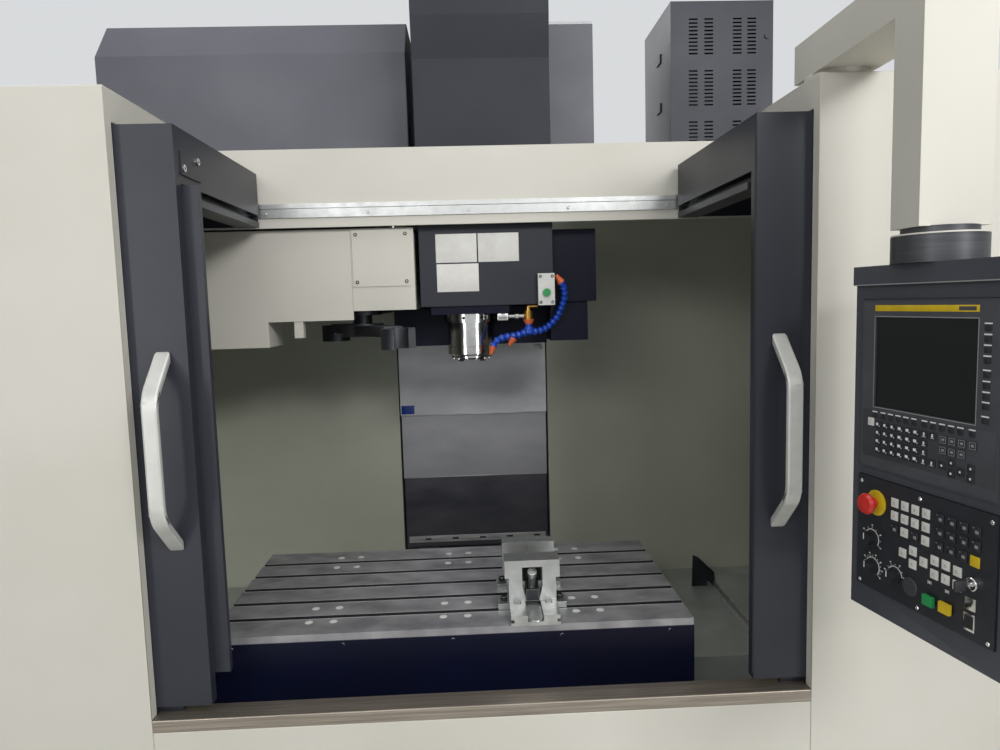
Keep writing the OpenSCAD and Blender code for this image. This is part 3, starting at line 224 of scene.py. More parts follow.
# Finishes of the record's material slots
textured("enclosure_paint", "d4d1c7", "c9c6ba", 0.48, noise=1.6, bump=0.12)
textured("slate_paint", "2c2f37", "24272f", 0.4, noise=3.0, rough_dark=0.52, bump=0.1, spec=0.28)
textured("navy_paint", "10142c", "0b0e20", 0.28, noise=2.5, rough_dark=0.4, bump=0.05, spec=0.16)
textured("machine_paint", "7d817c", "727671", 0.45, noise=4.0, bump=0.08)
textured("wall_paint", "cbcebd", "babdac", 0.4, noise=1.8, rough_dark=0.5, bump=0.05)
textured("stainless", "b0a698", "8e857a", 0.34, metal=0.85, scale=(0.6, 30, 30), noise=9.0,
         rough_dark=0.46)
textured("bright_steel", "c9cac8", "b2b4b2", 0.27, metal=0.9, noise=30.0, rough_dark=0.38)
textured("cover_steel", "b9b9bc", "a2a2a6", 0.4, metal=0.6, scale=(1.0, 1.0, 2.6), noise=3.2,
         detail=6.0, rough_dark=0.5)
textured("dark_steel", "4a4c50", "2c2e31", 0.45, metal=0.7, noise=9.0)
textured("ground_iron", "bcbbbe", "87878a", 0.33, metal=0.5, scale=(1.0, 1.4, 1.0), noise=9.0,
         detail=9.0, rough_dark=0.5)
textured("white_plastic", "e0dfda", "d6d5cf", 0.45, noise=14.0)
textured("black_plastic", "222428", "1b1d20", 0.5, noise=18.0, bump=0.06)
textured("green_plastic", "2fa45a", "289150", 0.35, noise=40.0)
textured("yellow_plastic", "e2c31f", "d2b01a", 0.38, noise=40.0)
textured("red_plastic", "d8332c", "c62822", 0.34, noise=40.0, coat=0.2)
textured("blue_plastic", "1c4fc4", "163f9f", 0.36, noise=60.0)
textured("brass_fitting", "c49a52", "a37a38", 0.3, metal=0.95, noise=60.0)
textured("satin_metal", "d3d3ce", "c4c4bf", 0.46, metal=0.35, noise=20.0, bump=0.1)
plain("window_glass", lin("9fb0ae"), 0.05, alpha=0.35)

# Finishes of single pieces and nodes
plain("screen", lin("1d2022"), 0.3)
plain("mark", lin("ededea"), 0.6)
plain("mark_grey", lin("8f918f"), 0.6)
plain("rubber", lin("141518"), 0.7)
# Painted shade: near-black sheets put in slots and a recess, where there is only shade
plain("painted_shade", lin("0c0d10"), 0.8)
textured("key_white", "e2e1dc", "d5d4ce", 0.5, noise=60.0)
textured("key_dark", "24262c", "1c1e23", 0.5, noise=60.0)
textured("key_grey", "45474b", "3a3c40", 0.5, noise=60.0)
textured("orange", "e0703a", "c95a28", 0.4, noise=90.0)
textured("plate", "e4e3de", "dbd9d3", 0.5, noise=30.0)
textured("bezel", "4a4c51", "424449", 0.5, noise=20.0, bump=0.08)
textured("panel", "25272e", "1f2127", 0.45, noise=20.0, bump=0.06)
textured("keypad", "3d3f44", "36383d", 0.5, noise=20.0, bump=0.06)
textured("pendant_paint", "474a52", "3f424a", 0.42, noise=6.0, bump=0.08)
textured("sleeve", "4b4d50", "3b3d40", 0.42, metal=0.4, scale=(1, 1, 20), noise=8.0)
textured("chrome", "dededc", "cfcfcd", 0.16, metal=1.0, noise=40.0)
# Lit and shaded copies of the cover steel: the lower way cover darkened with painted shade, the
# upper one lightened with painted light
textured("shaded_cover", "6a6a70", "484850", 0.4, metal=0.6, scale=(1.0, 1.0, 2.2), noise=4.0,
         detail=6.0, rough_dark=0.52)
textured("upper_cover", "dcdcde", "c2c2c5", 0.4, metal=0.5, scale=(1.0, 1.0, 2.6), noise=3.0,
         detail=6.0, rough_dark=0.5)
textured("tray_steel", "d2d6d2", "babeba", 0.4, metal=0.5, noise=6.0, rough_dark=0.52)
# Bright steel, which also paints the highlights along the T slots' edges and the covers' hems
textured("bright_edge_and_highlight", "e0e0df", "a8a8a8", 0.35, metal=0.35, scale=(0.4, 6.0, 6.0), noise=20.0)
# A paler slate than slate_paint, for the magazine cover and the column's top cover
textured("pale_slate", "5a5b64", "50515a", 0.34, noise=2.4, detail=6.0, rough_dark=0.46,
         bump=0.05)
textured("louvre_paint", "3f4048", "36373f", 0.44, noise=3.0, rough_dark=0.5, bump=0.05, spec=0.3)
textured("door_paint", "363840", "2a2c34", 0.36, noise=1.6, detail=6.0, rough_dark=0.46,
         bump=0.05, spec=0.35)

# CAD nodes whose finish isn't that of their slot
OWN_LOOK = {
    "spindle_housing": "chrome",
    # The upper and lower way covers take the lit and shaded copies of the cover steel, painted
    # light and painted shade
    "upper_way_cover": "upper_cover",
    "lower_way_cover": "shaded_cover",
    "pendant_box": "pendant_paint",
    "chip_trays": "tray_steel",
    "magazine_cover": "pale_slate",
    "column_top_cover": "pale_slate",
    "louvre_box": "louvre_paint",
    "left_door": "door_paint",
    "right_door": "door_paint",
}
slot_of = {entry["node"]: entry["material_slot"] for entry in frame["record"]["subparts"]}
for node, ob in frame["nodes"].items():
    ob.data.materials.clear()
    ob.data.materials.append(LOOKS[OWN_LOOK.get(node, slot_of[node])])

# ---------------------------------------------------------------- making of pieces

SHARP = math.radians(32)                # an edge with a wider turn than this is shaded sharp
BEVEL_SHARE = 0.45                      # most that a bevel may take of a box's thinnest side
ALONG = {
    "x": Matrix.Rotation(math.radians(90), 4, "Y"),
    "y": Matrix.Rotation(math.radians(-90), 4, "X"),
    "y_front": Matrix.Rotation(math.radians(90), 4, "X"),
    "z": Matrix.Identity(4),
}


def towards(direction):
    """Turns the Z axis into a direction."""
    return Vector(direction).to_track_quat("Z", "Y").to_matrix().to_4x4()


def circle(radius, segs, x=0.0, y=0.0):
    angles = [2 * math.pi * k / segs for k in range(segs)]
    return [(x + radius * math.cos(a), y + radius * math.sin(a)) for a in angles]


def add_box(bm, lo, hi, bevel):
    lo, hi = Vector(lo) * MM, Vector(hi) * MM
    size = hi - lo
    place = Matrix.Translation((lo + hi) / 2) @ Matrix.Diagonal((*size, 1))
    made = bmesh.ops.create_cube(bm, size=1.0, matrix=place)
    if bevel:
        edges = list({e for v in made["verts"] for e in v.link_edges})
        offset = min(bevel * MM, BEVEL_SHARE * min(size))
        bmesh.ops.bevel(bm, geom=edges, offset=offset, segments=2, profile=0.5, affect="EDGES")


def add_turned(bm, place, axis, profile, segs, closed):
    """A body of revolution of (radius, height) points; a closed profile makes a ring."""
    m = Matrix.Translation(Vector(place) * MM) @ (ALONG[axis] if isinstance(axis, str) else axis)
    rings = []
    for r, h in profile:
        spots = circle(r, segs) if r > 0 else [(0.0, 0.0)]
        rings.append([bm.verts.new(m @ (Vector((x, y, h)) * MM)) for x, y in spots])
    if closed:
        rings.append(rings[0])
    for a, b in zip(rings, rings[1:]):
        for k in range(segs):
            j = (k + 1) % segs
            if len(a) == 1 and len(b) > 1:
                bm.faces.new((a[0], b[j], b[k]))
            elif len(b) == 1 and len(a) > 1:
                bm.faces.new((a[k], a[j], b[0]))
            elif len(a) > 1:
                bm.faces.new((a[k], a[j], b[j], b[k]))
    if len(rings[0]) > 1 and not closed:
        bm.faces.new(list(reversed(rings[0])))
    if len(rings[-1]) > 1 and not closed:
        bm.faces.new(rings[-1])


def add_prism(bm, points, lo, hi):
    """A flat outline of (x, z) points, drawn out along Y from lo to hi."""
    low = [bm.verts.new(Vector((x, lo, z)) * MM) for x, z in points]
    high = [bm.verts.new(Vector((x, hi, z)) * MM) for x, z in points]
    bm.faces.new(low)
    bm.faces.new(list(reversed(high)))
    for k in range(len(points)):
        j = (k + 1) % len(points)
        bm.faces.new((low[j], low[k], high[k], high[j]))


def add_drilled_plate(bm, lo, hi, holes, radius, segs=24):
    """A flat plate that faces along Y, with round holes right through it."""
    rims = [[(lo[0], lo[2]), (hi[0], lo[2]), (hi[0], hi[2]), (lo[0], hi[2])]]
    rims += [circle(radius, segs, x, z) for x, z in holes]
    edges = []
    for rim in rims:
        verts = [bm.verts.new(Vector((x, lo[1], z)) * MM) for x, z in rim]
        edges += [bm.edges.new((verts[k], verts[(k + 1) % len(verts)])) for k in range(len(verts))]
    filled = bmesh.ops.triangle_fill(bm, use_beauty=True, edges=edges)
    front = [f for f in filled["geom"] if isinstance(f, bmesh.types.BMFace)]
    drawn = bmesh.ops.extrude_face_region(bm, geom=front, use_keep_orig=True)
    back = [v for v in drawn["geom"] if isinstance(v, bmesh.types.BMVert)]
    bmesh.ops.translate(bm, verts=back, vec=(0, (hi[1] - lo[1]) * MM, 0))
    bmesh.ops.recalc_face_normals(bm, faces=bm.faces)


def centred_box(mid, half, depth, height):
    """A box that reaches half to either side of x = mid, between two depths and two heights."""
    return ("box", (mid - half, depth[0], height[0]), (mid + half, depth[1], height[1]))


def cap_head(place, axis, r, h):
    """A socket cap screw's head, its hexagon drawn as a round recess."""
    chamfer, socket, floor_h = 0.12 * r, 0.45 * r, 0.4 * h
    return ("turn", place, axis, [(r, 0), (r, h - chamfer), (r - chamfer, h), (socket, h),
                                  (socket, floor_h), (0, floor_h)])


def rod(place, axis, r, h, chamfer):
    return ("turn", place, axis, [(r - chamfer, 0), (r, chamfer), (r, h - chamfer),
                                  (r - chamfer, h)])


def piece(name, body, slot_name, prims, look=None, bevel=0.0, swap=(), place=None, segs=32):
    """Makes one piece of its shapes, in its slot's finish unless look names another."""
    bm = bmesh.new()
    for kind, *shape in prims:
        if kind == "box":
            add_box(bm, *shape, bevel)
        elif kind == "prism":
            add_prism(bm, *shape)
        elif kind == "drilled":
            add_drilled_plate(bm, *shape)
        else:
            add_turned(bm, *shape, segs, kind == "ring")
    if place is not None:
        bm.transform(place)
    bm.normal_update()
    for f in bm.faces:
        f.smooth = True
    for e in bm.edges:
        if len(e.link_faces) == 2 and e.calc_face_angle(0) > SHARP:
            e.smooth = False
    me = bpy.data.meshes.new(name)
    bm.to_mesh(me)
    bm.free()
    ob = bpy.data.objects.new(name, me)
    scene.collection.objects.link(ob)
    me.materials.append(LOOKS[look or slot_name])
    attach(ob, body)
    if swap:
        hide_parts(*swap)
    return ob


# ---------------------------------------------------------------- softened CAD edges

# Width of the rounding on the edges of boxy CAD nodes
SOFT_EDGES = {
    5.0: ("pendant_arm", "left_door_handle", "right_door_handle"),
    3.0: ("magazine_cover", "column_top_cover", "pendant_box", "head_side_box",
          "electrical_cabinet"),
    2.5: ("left_enclosure", "right_enclosure", "front_lower_panel", "left_door", "right_door"),
    2.0: ("door_sill", "header_beam", "changer_cover", "head_cover", "tool_release_box"),
    1.5: ("changer_access_cover", "vise_moving_jaw", "front_apron"),
    1.0: ("vise_clamps",),
    0.8: ("table", "vise_body"),
    0.6: ("upper_way_cover", "middle_way_cover"),
}
WELD = 0.00001
SOFT_ANGLE = math.radians(50)
for width, nodes in SOFT_EDGES.items():
    for node in nodes:
        ob = frame["nodes"][node]
        ob.modifiers.new("weld", "WELD").merge_threshold = WELD
        rounding = ob.modifiers.new("bevel", "BEVEL")
        rounding.width = width * MM
        rounding.segments = 2
        rounding.limit_method = "ANGLE"
        rounding.angle_limit = SOFT_ANGLE

# ---------------------------------------------------------------- head and doors

# Bare plates on the head's front cover, in the place of its labels
HEAD_FRONT_Y = -118
HEAD_PLATES = {
    "left": (-99, 1819, 25, 1905),
    "right": (29, 1819, 153, 1905),
    "low": (-98, 1731, 29, 1815),
}
for which, (x0, z0, x1, z1) in HEAD_PLATES.items():
    piece("head_plate_" + which, "head", "white_plastic",
          [("box", (x0, HEAD_FRONT_Y - 1, z0), (x1, HEAD_FRONT_Y, z1))], "plate", 0.4)

# Bolts over the bracket on the left door's web, and the seal of the right door's inner stile
DOOR_WEB_X = -605.2
piece("left_door_bolts", "left_door", "bright_steel",
      [cap_head((DOOR_WEB_X, y, z), "x", 8.3, 5.4) for y, z in ((-735, 1999), (-651, 2028))],
      "chrome")
piece("right_door_seal", "right_door", "black_plastic",
      [("box", (620.5, -782.5, 830), (624.5, -779.5, 2060))], "rubber", 0.8)

# Orange nozzles, each on the end of its hose, and the cone under the valve
VALVE_X, VALVE_Y = 180, -90
NOZZLE = [(11.8, -1), (11.8, 2), (9.6, 9), (7.4, 18), (5.2, 26), (4.2, 26.4), (2.6, 26.4),
          (2.6, 20), (0, 20)]
NOZZLE_PLACES = (((131, -97, 1583), (-15, 0, -23)),
                 ((66, -102, 1560), (-6, 0, -22)),
                 ((280, -117, 1752), (-14, -4, 20)))
VALVE_CONE = [(10.3, -0.3), (17.3, 13.2), (17.3, 14.6), (14.4, 14.8)]
piece("coolant_nozzles", "head", "red_plastic",
      [("turn", spot, towards(way), NOZZLE) for spot, way in NOZZLE_PLACES]
      + [("turn", (VALVE_X, VALVE_Y, 1626), "z", VALVE_CONE)], "orange")

# Block and fittings that feed the valve: each fitting's start, radius, length and chamfer
FEED_Z = 1652
FITTINGS = ((116, 7.3, 22, 0.8), (138, 10.3, 12, 1.2), (150, 7.3, 10, 0.8), (159, 8.8, 6, 1.0))
piece("coolant_manifold", "head", "bright_steel",
      [("box", (83.7, -102.3, 1639.7), (116.3, -73.7, 1661.9))]
      + [rod((x, VALVE_Y, FEED_Z), "x", r, h, c) for x, r, h, c in FITTINGS], "chrome", 1.2)
VALVE_COLLARS = [(14.3, 0), (14.3, 5), (12.9, 6), (12.9, 19), (14.3, 20), (14.3, 26.2),
                 (9.3, 26.6), (9.3, 38)]
piece("valve_collars", "head", "brass_fitting",
      [("turn", (VALVE_X, VALVE_Y, 1640), "z", VALVE_COLLARS)])

# Screws round the spindle's flange
FLANGE_R, FLANGE_Z = 84.4, 1649.5
flange_screws = []
for angle in (-15, 24, -54, 63):
    out = (math.sin(math.radians(angle)), -math.cos(math.radians(angle)), 0)
    flange_screws.append(cap_head((FLANGE_R * out[0], FLANGE_R * out[1], FLANGE_Z),
                                  towards(out), 4.6, 3.0))
piece("flange_screws", "head", "dark_steel", flange_screws, "rubber", segs=16)

# ---------------------------------------------------------------- covers

# Bright hems of the telescopic covers, their brightness painted highlight, with the clip and the
# blank label of the upper one
UPPER_Y, MIDDLE_Y, LOWER_Y = 618.2, 622.3, 626.1
piece("upper_cover_hem", "head", "cover_steel",
      [centred_box(0, 300, (UPPER_Y - 1.6, UPPER_Y), (1239.7, 1245.2))], "bright_edge_and_highlight", 0.4)
piece("upper_cover_clip", "head", "bright_steel",
      [centred_box(269, 19, (UPPER_Y - 5.2, UPPER_Y), (1500, 1519))], "bright_edge_and_highlight", 0.8)
piece("cover_blank_label", "head", "blue_plastic",
      [centred_box(-269.5, 26.5, (UPPER_Y - 1.0, UPPER_Y - 0.1), (1249, 1285))], bevel=0.2)
piece("middle_cover_hem", "middle_cover", "cover_steel",
      [centred_box(0, 297, (MIDDLE_Y - 0.5, MIDDLE_Y), (980, 984.5))], "bright_edge_and_highlight", 0.1)
piece("lower_cover_lip", "frame", "cover_steel",
      [centred_box(0, 286, (LOWER_Y - 0.3, LOWER_Y), (704, 731))], "bright_edge_and_highlight", 0.05)
# Dark sheets of painted shade stand in the slots of the lower cover's lip
piece("lower_cover_slots", "frame", "dark_steel",
      [centred_box(x, 12.5, (LOWER_Y - 0.5, LOWER_Y - 0.2), (714, 721))
       for x in (-206.5, -92.5, 21.5, 135.5, 249.5)], "painted_shade", 0.05)

# Screws of the changer's access cover and of the tool release box
piece("access_cover_screws", "frame", "dark_steel",
      [cap_head((x, -136.8, z), "y_front", 5.2, 3.2) for x in (-335.7, -188)
       for z in (1767, 1908)], segs=20)
piece("release_box_screws", "head", "dark_steel",
      [cap_head((x, -139.8, z), "y_front", 4.6, 2.2) for x in (215, 251)
       for z in (1692, 1770)], segs=20)

# ---------------------------------------------------------------- vise, trays and table

# Clamp screws of the vise, the foot block under its screw, and a dark sheet of painted shade in the
# recess behind that
VISE_X = 138
RECESS_Y = (-514.6, -514.2)
piece("vise_clamp_screws", "table", "dark_steel",
      [cap_head((VISE_X + side * 73, y, 915.9), "z", 9.1, 11.3) for side in (-1, 1)
       for y in (-510, -374)], "rubber", segs=24)
piece("vise_foot_block", "vise_jaw", "dark_steel",
      [centred_box(VISE_X, 17.2, (-551.2, -539.4), (928.4, 958.2))], bevel=1.0)
piece("vise_recess", "vise_jaw", "dark_steel",
      [centred_box(VISE_X, 25.6, RECESS_Y, (967, 1015.6)),
       centred_box(VISE_X, 17.6, RECESS_Y, (934.6, 967.2))], "painted_shade", 0.05)

# Dark end plate and bright flushing rails of the right chip tray
END_PLATE = [(850.8, 541), (854.8, 671.2), (877.2, 660.2), (940.2, 598.2), (947.2, 541)]
piece("tray_end_plate", "frame", "dark_steel", [("prism", END_PLATE, 433.7, 438.3)])
piece("flushing_rails", "frame", "bright_steel",
      [centred_box(x, 3.8, (-140.6, 435.3), (541.2, 562.3)) for x in (915.5, 941.5)],
      "bright_edge_and_highlight", 0.8)

# Screws along the apron in front of the table
piece("apron_screws", "table", "bright_steel",
      [rod((x, -635, 872), "y", 5, 3, 0.8) for x in (-607, -337, -67, 203, 473)], "chrome")

# Painted highlights as bright strips beside the T slots, and painted shade as dark sheets on the
# slots' rear walls
TABLE_MID, TABLE_HALF = -67, 599.8
SLOT_HALF = 9
SLOTS = (-530, -430, -330, -230, -130)
STRIP_Z = (899.9, 900.12)
slot_edges = []
for y in SLOTS:
    for strip in ((y - SLOT_HALF - 3.6, y - SLOT_HALF), (y + SLOT_HALF, y + SLOT_HALF + 1.8)):
        slot_edges.append(centred_box(TABLE_MID, TABLE_HALF, strip, STRIP_Z))
piece("slot_edges", "table", "ground_iron", slot_edges, "bright_edge_and_highlight")
piece("slot_walls", "table", "dark_steel",
      [centred_box(TABLE_MID, TABLE_HALF, (y + SLOT_HALF - 0.4, y + SLOT_HALF + 0.1),
                   (884, 899.4)) for y in SLOTS], "painted_shade")

# ---------------------------------------------------------------- pendant: display unit

PEND = Matrix.Translation((0.817, -1.110, 0.0)) @ Matrix.Rotation(math.radians(-79.6), 4, "Z")
FACE_V = -47.0                          # front of the pendant's box
PLATE_V = FACE_V - 4.0                  # front of the display unit and of the operator panel
BACK_V = FACE_V + 2.0                   # their backs, sunk into the box
UNIT_U, UNIT_W = -124.0, 308.0
UNIT_TOP, UNIT_H = 1680.0, 316.0
UNIT_LOW = UNIT_TOP - UNIT_H
LCD_U, LCD_W = -87.0, 222.0
LCD_TOP, LCD_H = 1648.0, 166.0
LCD_LOW = LCD_TOP - LCD_H
OP_TOP = UNIT_LOW - 18.0
OP_H = 216.0


def on_pendant(name, slot_name, prims, look=None, bevel=0.0, swap=(), segs=32):
    piece(name, "pendant", slot_name, prims, look, bevel, swap, PEND, segs)


def face_slab(u0, u1, z0, z1):
    """A slab of the full thickness of the display unit's plate."""
    return ("box", (u0, PLATE_V, z0), (u1, BACK_V, z1))


def face_box(u, z, w, h, proud):
    """A block on the pendant's face: left edge, top edge, width and height, standing proud."""
    return ("box", (u, PLATE_V - proud, z - h), (u + w, PLATE_V, z))


def face_mark(u, z, w, h, proud):
    """A thin mark lying on a key's front, given by its middle."""
    return ("box", (u - w / 2, PLATE_V - proud - 0.15, z - h / 2),
            (u + w / 2, PLATE_V - proud + 0.05, z + h / 2))


def frame_bars(u, z, w, h, bar, proud):
    """Four thin bars round a rectangle given by its middle."""
    return [face_mark(u, z + h / 2, w + bar, bar, proud),
            face_mark(u, z - h / 2, w + bar, bar, proud),
            face_mark(u - w / 2, z, bar, h, proud),
            face_mark(u + w / 2, z, bar, h, proud)]


on_pendant("display_bezel", "black_plastic",
           [face_slab(UNIT_U, UNIT_U + UNIT_W, LCD_TOP, UNIT_TOP),
            face_slab(UNIT_U, LCD_U, LCD_LOW, LCD_TOP),
            face_slab(LCD_U + LCD_W, UNIT_U + UNIT_W, LCD_LOW, LCD_TOP),
            face_slab(UNIT_U, UNIT_U + UNIT_W, UNIT_LOW, LCD_LOW)],
           "bezel", swap=("display_unit",))
on_pendant("display_screen", "black_plastic",
           [("box", (LCD_U, PLATE_V + 3, LCD_LOW), (LCD_U + LCD_W, BACK_V, LCD_TOP))], "screen")
on_pendant("display_border", "black_plastic",
           frame_bars(LCD_U + LCD_W / 2, LCD_TOP - LCD_H / 2, LCD_W + 3, LCD_H + 3, 1.6, 0.3),
           "mark_grey")
on_pendant("display_edge", "black_plastic",
           frame_bars(UNIT_U + UNIT_W / 2, (UNIT_TOP + UNIT_LOW) / 2, UNIT_W - 3, UNIT_H - 3,
                      2.4, 0.4), "key_grey")
on_pendant("display_strip", "yellow_plastic",
           [face_box(LCD_U - 2, LCD_TOP + 22, LCD_W + 4, 11, 0.6)], bevel=0.3)
on_pendant("display_strip_field", "black_plastic",
           [face_mark(LCD_U + LCD_W - 20, LCD_TOP + 16.5, 33, 6.4, 0.7)], "bezel")
on_pendant("keypad_field", "black_plastic",
           [face_box(UNIT_U + 10, LCD_LOW - 8, UNIT_W - 20, 88, 0.5)], "keypad", 0.4)

# Soft keys beside and below the screen, with a bright line along each
SOFT_SIDE = (0, 17, 33.6, 50.5, 72.5, 89.7, 106.6, 122.6, 145)
SOFT_LOW = (0, 20.5, 39, 57.5, 76, 94.5, 118, 136.5, 155, 173.5, 192, 214.5)
SOFT_PROUD = 1.8
soft_keys, soft_lines = [], []
for dz in SOFT_SIDE:
    soft_keys.append(face_box(UNIT_U + UNIT_W - 36, LCD_TOP - 8 - dz, 12, 10, SOFT_PROUD))
    soft_lines.append(face_mark(UNIT_U + UNIT_W - 30, LCD_TOP - 6.4 - dz, 14, 2.2, 0.6))
for du in SOFT_LOW:
    soft_keys.append(face_box(LCD_U - 1.5 + du, LCD_LOW - 11.5, 11, 10, SOFT_PROUD))
    soft_lines.append(face_mark(LCD_U + 4 + du, LCD_LOW - 10, 12.5, 2.2, 0.8))
on_pendant("soft_keys", "black_plastic", soft_keys, "key_dark", 1.0)
on_pendant("soft_key_lines", "white_plastic", soft_lines, "mark")

# Letter keys: eight columns, then outlined keys, then cursor and page keys
KEY_PROUD = 2.2
LETTER_PITCH, LETTER_ROW = 18.2, 15.7
OUTLINED = [(u, row) for u in (163.4, 181.5, 200.6, 221.4) for row in (0, 1)][:-1]
CURSOR_KEYS = ((162, 79), (181, 71), (181, 88.6), (199, 82), (219, 72.6), (219, 89))
letter_keys, letter_marks, outlines = [], [], []
for row in range(4):
    z = LCD_LOW - 33 - row * LETTER_ROW
    for column in range(8):
        if column == 7 and row in (1, 2):
            continue
        u = LCD_U + 13.5 + column * LETTER_PITCH
        letter_keys.append(face_box(u - 7.4, z + 6.4, 14.8, 12.8, KEY_PROUD))
        if column < 6:
            wide = 6.6 if column > 2 else 5.0
            letter_marks.append(face_mark(u - 1.4, z + 0.8, wide, 5.0, KEY_PROUD))
            letter_marks.append(face_mark(u + 3.8, z - 2.4, 2.0, 2.0, KEY_PROUD))
        else:
            letter_marks.append(face_mark(u, z + 0.6, 3.4, 5.4, KEY_PROUD))
            letter_marks.append(face_mark(u, z - 3.8, 8.0, 0.9, KEY_PROUD))
for du, row in OUTLINED:
    u, z = LCD_U + du, LCD_LOW - 35 - row * 18
    letter_keys.append(face_box(u - 7.4, z + 7, 14.8, 14, KEY_PROUD))
    outlines += frame_bars(u, z, 11.4, 10.6, 0.9, KEY_PROUD)
    outlines.append(face_mark(u, z, 5.6, 4.2, KEY_PROUD))
for du, dz in CURSOR_KEYS:
    u, z = LCD_U + du, LCD_LOW - dz
    letter_keys.append(face_box(u - 7.2, z + 7, 14.4, 14, KEY_PROUD))
    letter_marks.append(face_mark(u, z, 3.4, 3.4, KEY_PROUD))
on_pendant("letter_keys", "black_plastic", letter_keys, "key_dark", 1.0)
on_pendant("letter_marks", "white_plastic", letter_marks, "mark")
on_pendant("key_outlines", "white_plastic", outlines, "mark_grey")
on_pendant("reset_key", "white_plastic",
           [face_box(LCD_U - 12.6, LCD_LOW - 22.5, 15.6, 15, 2.4)], "key_white", 1.0)

# ---------------------------------------------------------------- pendant: operator panel

# Middles of the controls on the panel, from its top left corner to the right and down
STOP, MODE, FEED, SPINDLE = (50, 46), (40, 118), (43, 172), (100, 170)
START, HOLD = (185, 182), (220, 181)
STEM_HOLE = 6.4
OP_PROUD = 2.5
PRINT_PROUD = 0.2


def op_at(p):
    return (UNIT_U + p[0], PLATE_V, OP_TOP - p[1])


def op_box(p, size, near, far):
    """A box on the panel given by its middle, between two distances in front of the plate."""
    u, v, z = op_at(p)
    w, h = size[0] / 2, size[1] / 2
    return ("box", (u - w, v - far, z - h), (u + w, v - near, z + h))


def op_key(p, size=17.0, proud=OP_PROUD):
    return op_box(p, (size, size), 0, proud)


def op_mark(p, w, h, proud=OP_PROUD):
    return face_mark(UNIT_U + p[0], OP_TOP - p[1], w, h, proud)


def op_turn(p, profile):
    """A body of revolution standing on the operator panel, towards the operator."""
    return ("turn", op_at(p), "y_front", profile)


def moved(p, dx, dz):
    return (p[0] + dx, p[1] + dz)


on_pendant("operator_plate", "black_plastic",
           [("drilled", (UNIT_U, PLATE_V, OP_TOP - OP_H), (UNIT_U + UNIT_W, BACK_V, OP_TOP),
             [(UNIT_U + x, OP_TOP - z) for x, z in (STOP, MODE, FEED, SPINDLE, START, HOLD)],
             STEM_HOLE)], "panel", swap=("operator_panel",))

# Keys of the panel: two blocks at one pitch, and single ones lower down
KEY_PITCH = 24
white_at = [(97 + i * KEY_PITCH, 34 + j * KEY_PITCH) for i in range(4) for j in range(3)
            if (i, j) not in ((0, 2), (2, 2))]
white_at += [(118.5, 120), (142.5, 109), (142.5, 133), (166.5, 121), (190.5, 110), (190.5, 134),
             (214, 110), (214, 134), (237.5, 112), (237.5, 136)]
dark_at = [(199 + i * KEY_PITCH, 34 + j * KEY_PITCH) for i in range(4) for j in range(3)
           if (i, j) != (3, 2)]
dark_at += [(97, 82), (145, 82)]
white_marks, dark_marks = [], []
for k, p in enumerate(white_at):
    white_marks += [op_mark(moved(p, -0.6, -1.2), 4.2, 0.8), op_mark(moved(p, -0.6, 2.6), 4.2, 0.8),
                    op_mark(moved(p, k % 3 - 2.8, 0.6), 0.8, 3.8)]
for p in dark_at:
    dark_marks += [op_mark(moved(p, 1.6, 1.2), 6.4, 5.2), op_mark(moved(p, -5.0, -5.0), 1.8, 1.8)]
on_pendant("white_keys", "white_plastic", [op_key(p) for p in white_at], "key_white", 1.2)
on_pendant("white_key_marks", "black_plastic", white_marks, "mark_grey")
on_pendant("dark_keys", "black_plastic", [op_key(p) for p in dark_at], "key_dark", 1.2)
on_pendant("dark_key_marks", "white_plastic", dark_marks, "mark_grey")
on_pendant("yellow_key", "yellow_plastic", [op_key((270, 84), 18)], bevel=1.2)

# Ring of the emergency stop, blank cap, key switch, port plate and screws
STOP_RING = [(STEM_HOLE, 0), (24, 0), (24, 1.8), (22.6, 2.6), (STEM_HOLE, 2.6)]
CAP = [(17, 0), (17, 1.6), (15.6, 2.6)]
SWITCH = [(11, 0), (11, 6), (9.4, 7.4), (7.2, 7.4), (7.2, 6.4), (0, 6.4)]
SCREW = [(3.8, 0), (3.8, 1.0), (2.8, 1.8), (1.4, 1.8), (1.4, 1.0), (0, 1.0)]
KEY_SWITCH = (269, 121)
on_pendant("stop_ring", "yellow_plastic", [("ring", op_at(STOP), "y_front", STOP_RING)], segs=48)
on_pendant("blank_cap", "black_plastic", [op_turn((137, 176), CAP)], "keypad", segs=40)
on_pendant("key_switch", "bright_steel",
           [op_turn(KEY_SWITCH, SWITCH), op_box(KEY_SWITCH, (2, 7.2), 6, 17)], "chrome", 0.3)
on_pendant("switch_key", "black_plastic",
           [op_box(moved(KEY_SWITCH, 0, 0.5), (4.8, 19), 16, 39)], "rubber", 2.2)
on_pendant("port_plate", "bright_steel",
           [op_key((265, 156), 21, 3.0), op_box((263, 187), (22, 30), 0, 2.2)], "chrome", 0.9)
on_pendant("port_fields", "black_plastic",
           [op_mark((265, 157), 5.5, 5.5, 3.0), op_mark((263, 187), 17, 22, 2.2)], "rubber")
on_pendant("panel_screws", "bright_steel",
           [op_turn((x, z), SCREW) for x in (10, 154, 298) for z in (12, OP_H - 8)],
           "chrome", segs=16)

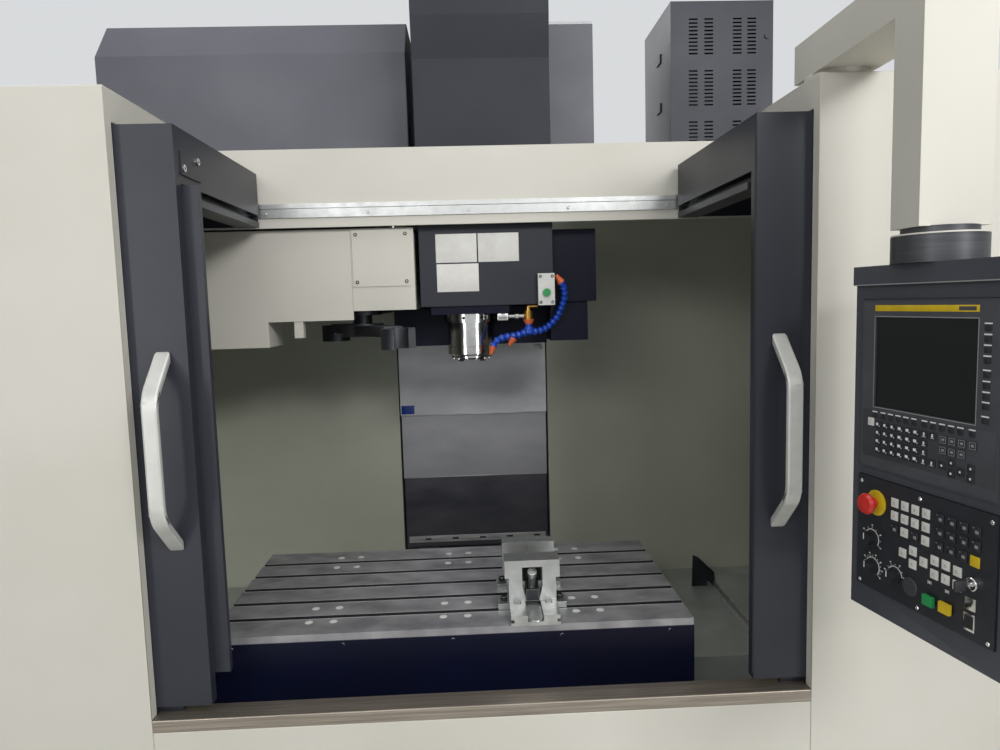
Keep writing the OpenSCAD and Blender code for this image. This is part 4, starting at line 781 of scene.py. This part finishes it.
# Dots round each dial, and a small sign above each of the two buttons
DIALS = ((MODE, 120, 9), (FEED, 130, 15), (SPINDLE, 80, 7))


def dial_arc(centre, radius, reach, count, w, h):
    """Marks at one radius round a dial, spread evenly over reach degrees to either side."""
    marks = []
    for k in range(count):
        a = math.radians(-reach + 2 * reach * k / (count - 1))
        marks.append(op_mark(moved(centre, radius * math.sin(a), -radius * math.cos(a)), w, h,
                             PRINT_PROUD))
    return marks


ticks = []
for centre, reach, count in DIALS:
    ticks += dial_arc(centre, 17.6, reach, 41, 1.9, 1.9)
    ticks += dial_arc(centre, 21.4, reach, count, 1.6, 1.6)
    ticks += dial_arc(centre, 25.6, reach, (count + 1) // 2, 3.4, 2.4)
for p in ((180, 152), (217, 154)):
    ticks += [op_mark(moved(p, -3.4, 0), 1.0, 6, PRINT_PROUD),
              op_mark(moved(p, 3.4, 0), 1.0, 6, PRINT_PROUD), op_mark(p, 2.6, 4.4, PRINT_PROUD)]
on_pendant("dial_marks", "white_plastic", ticks, "mark")
for number, p in (("mode", MODE), ("feed", FEED), ("spindle", SPINDLE)):
    piece(number + "_pointer", number + "_knob", "white_plastic",
          [op_box(moved(p, 0, -6.8), (2, 11.6), 18.9, 19.25)], "mark", place=PEND)

# Dark sleeve and ring between the pendant and its arm, and the bright line along its lid
SLEEVE = [(75.4, 0.2), (75.4, 46.4), (73.6, 48.2), (60.6, 48.3), (60.6, 60.4), (59, 61.2)]
piece("pendant_sleeve", "pendant_arm", "dark_steel",
      [("turn", (817, -1110, 1742), "z", SLEEVE)], "sleeve", segs=64)
on_pendant("pendant_top_lip", "black_plastic",
           [("box", (-142, FACE_V - 8.3, 1706.6), (202, FACE_V - 7.7, 1708.6))], "mark_grey")

# ---------------------------------------------------------------- floor

FLOOR_SIZE = 60
plain("floor", (0.62, 0.62, 0.6), 0.75)
bpy.ops.mesh.primitive_plane_add(size=FLOOR_SIZE, location=(0, 0, 0))
floor = bpy.context.object
floor.name = "floor"
floor.data.materials.append(LOOKS["floor"])
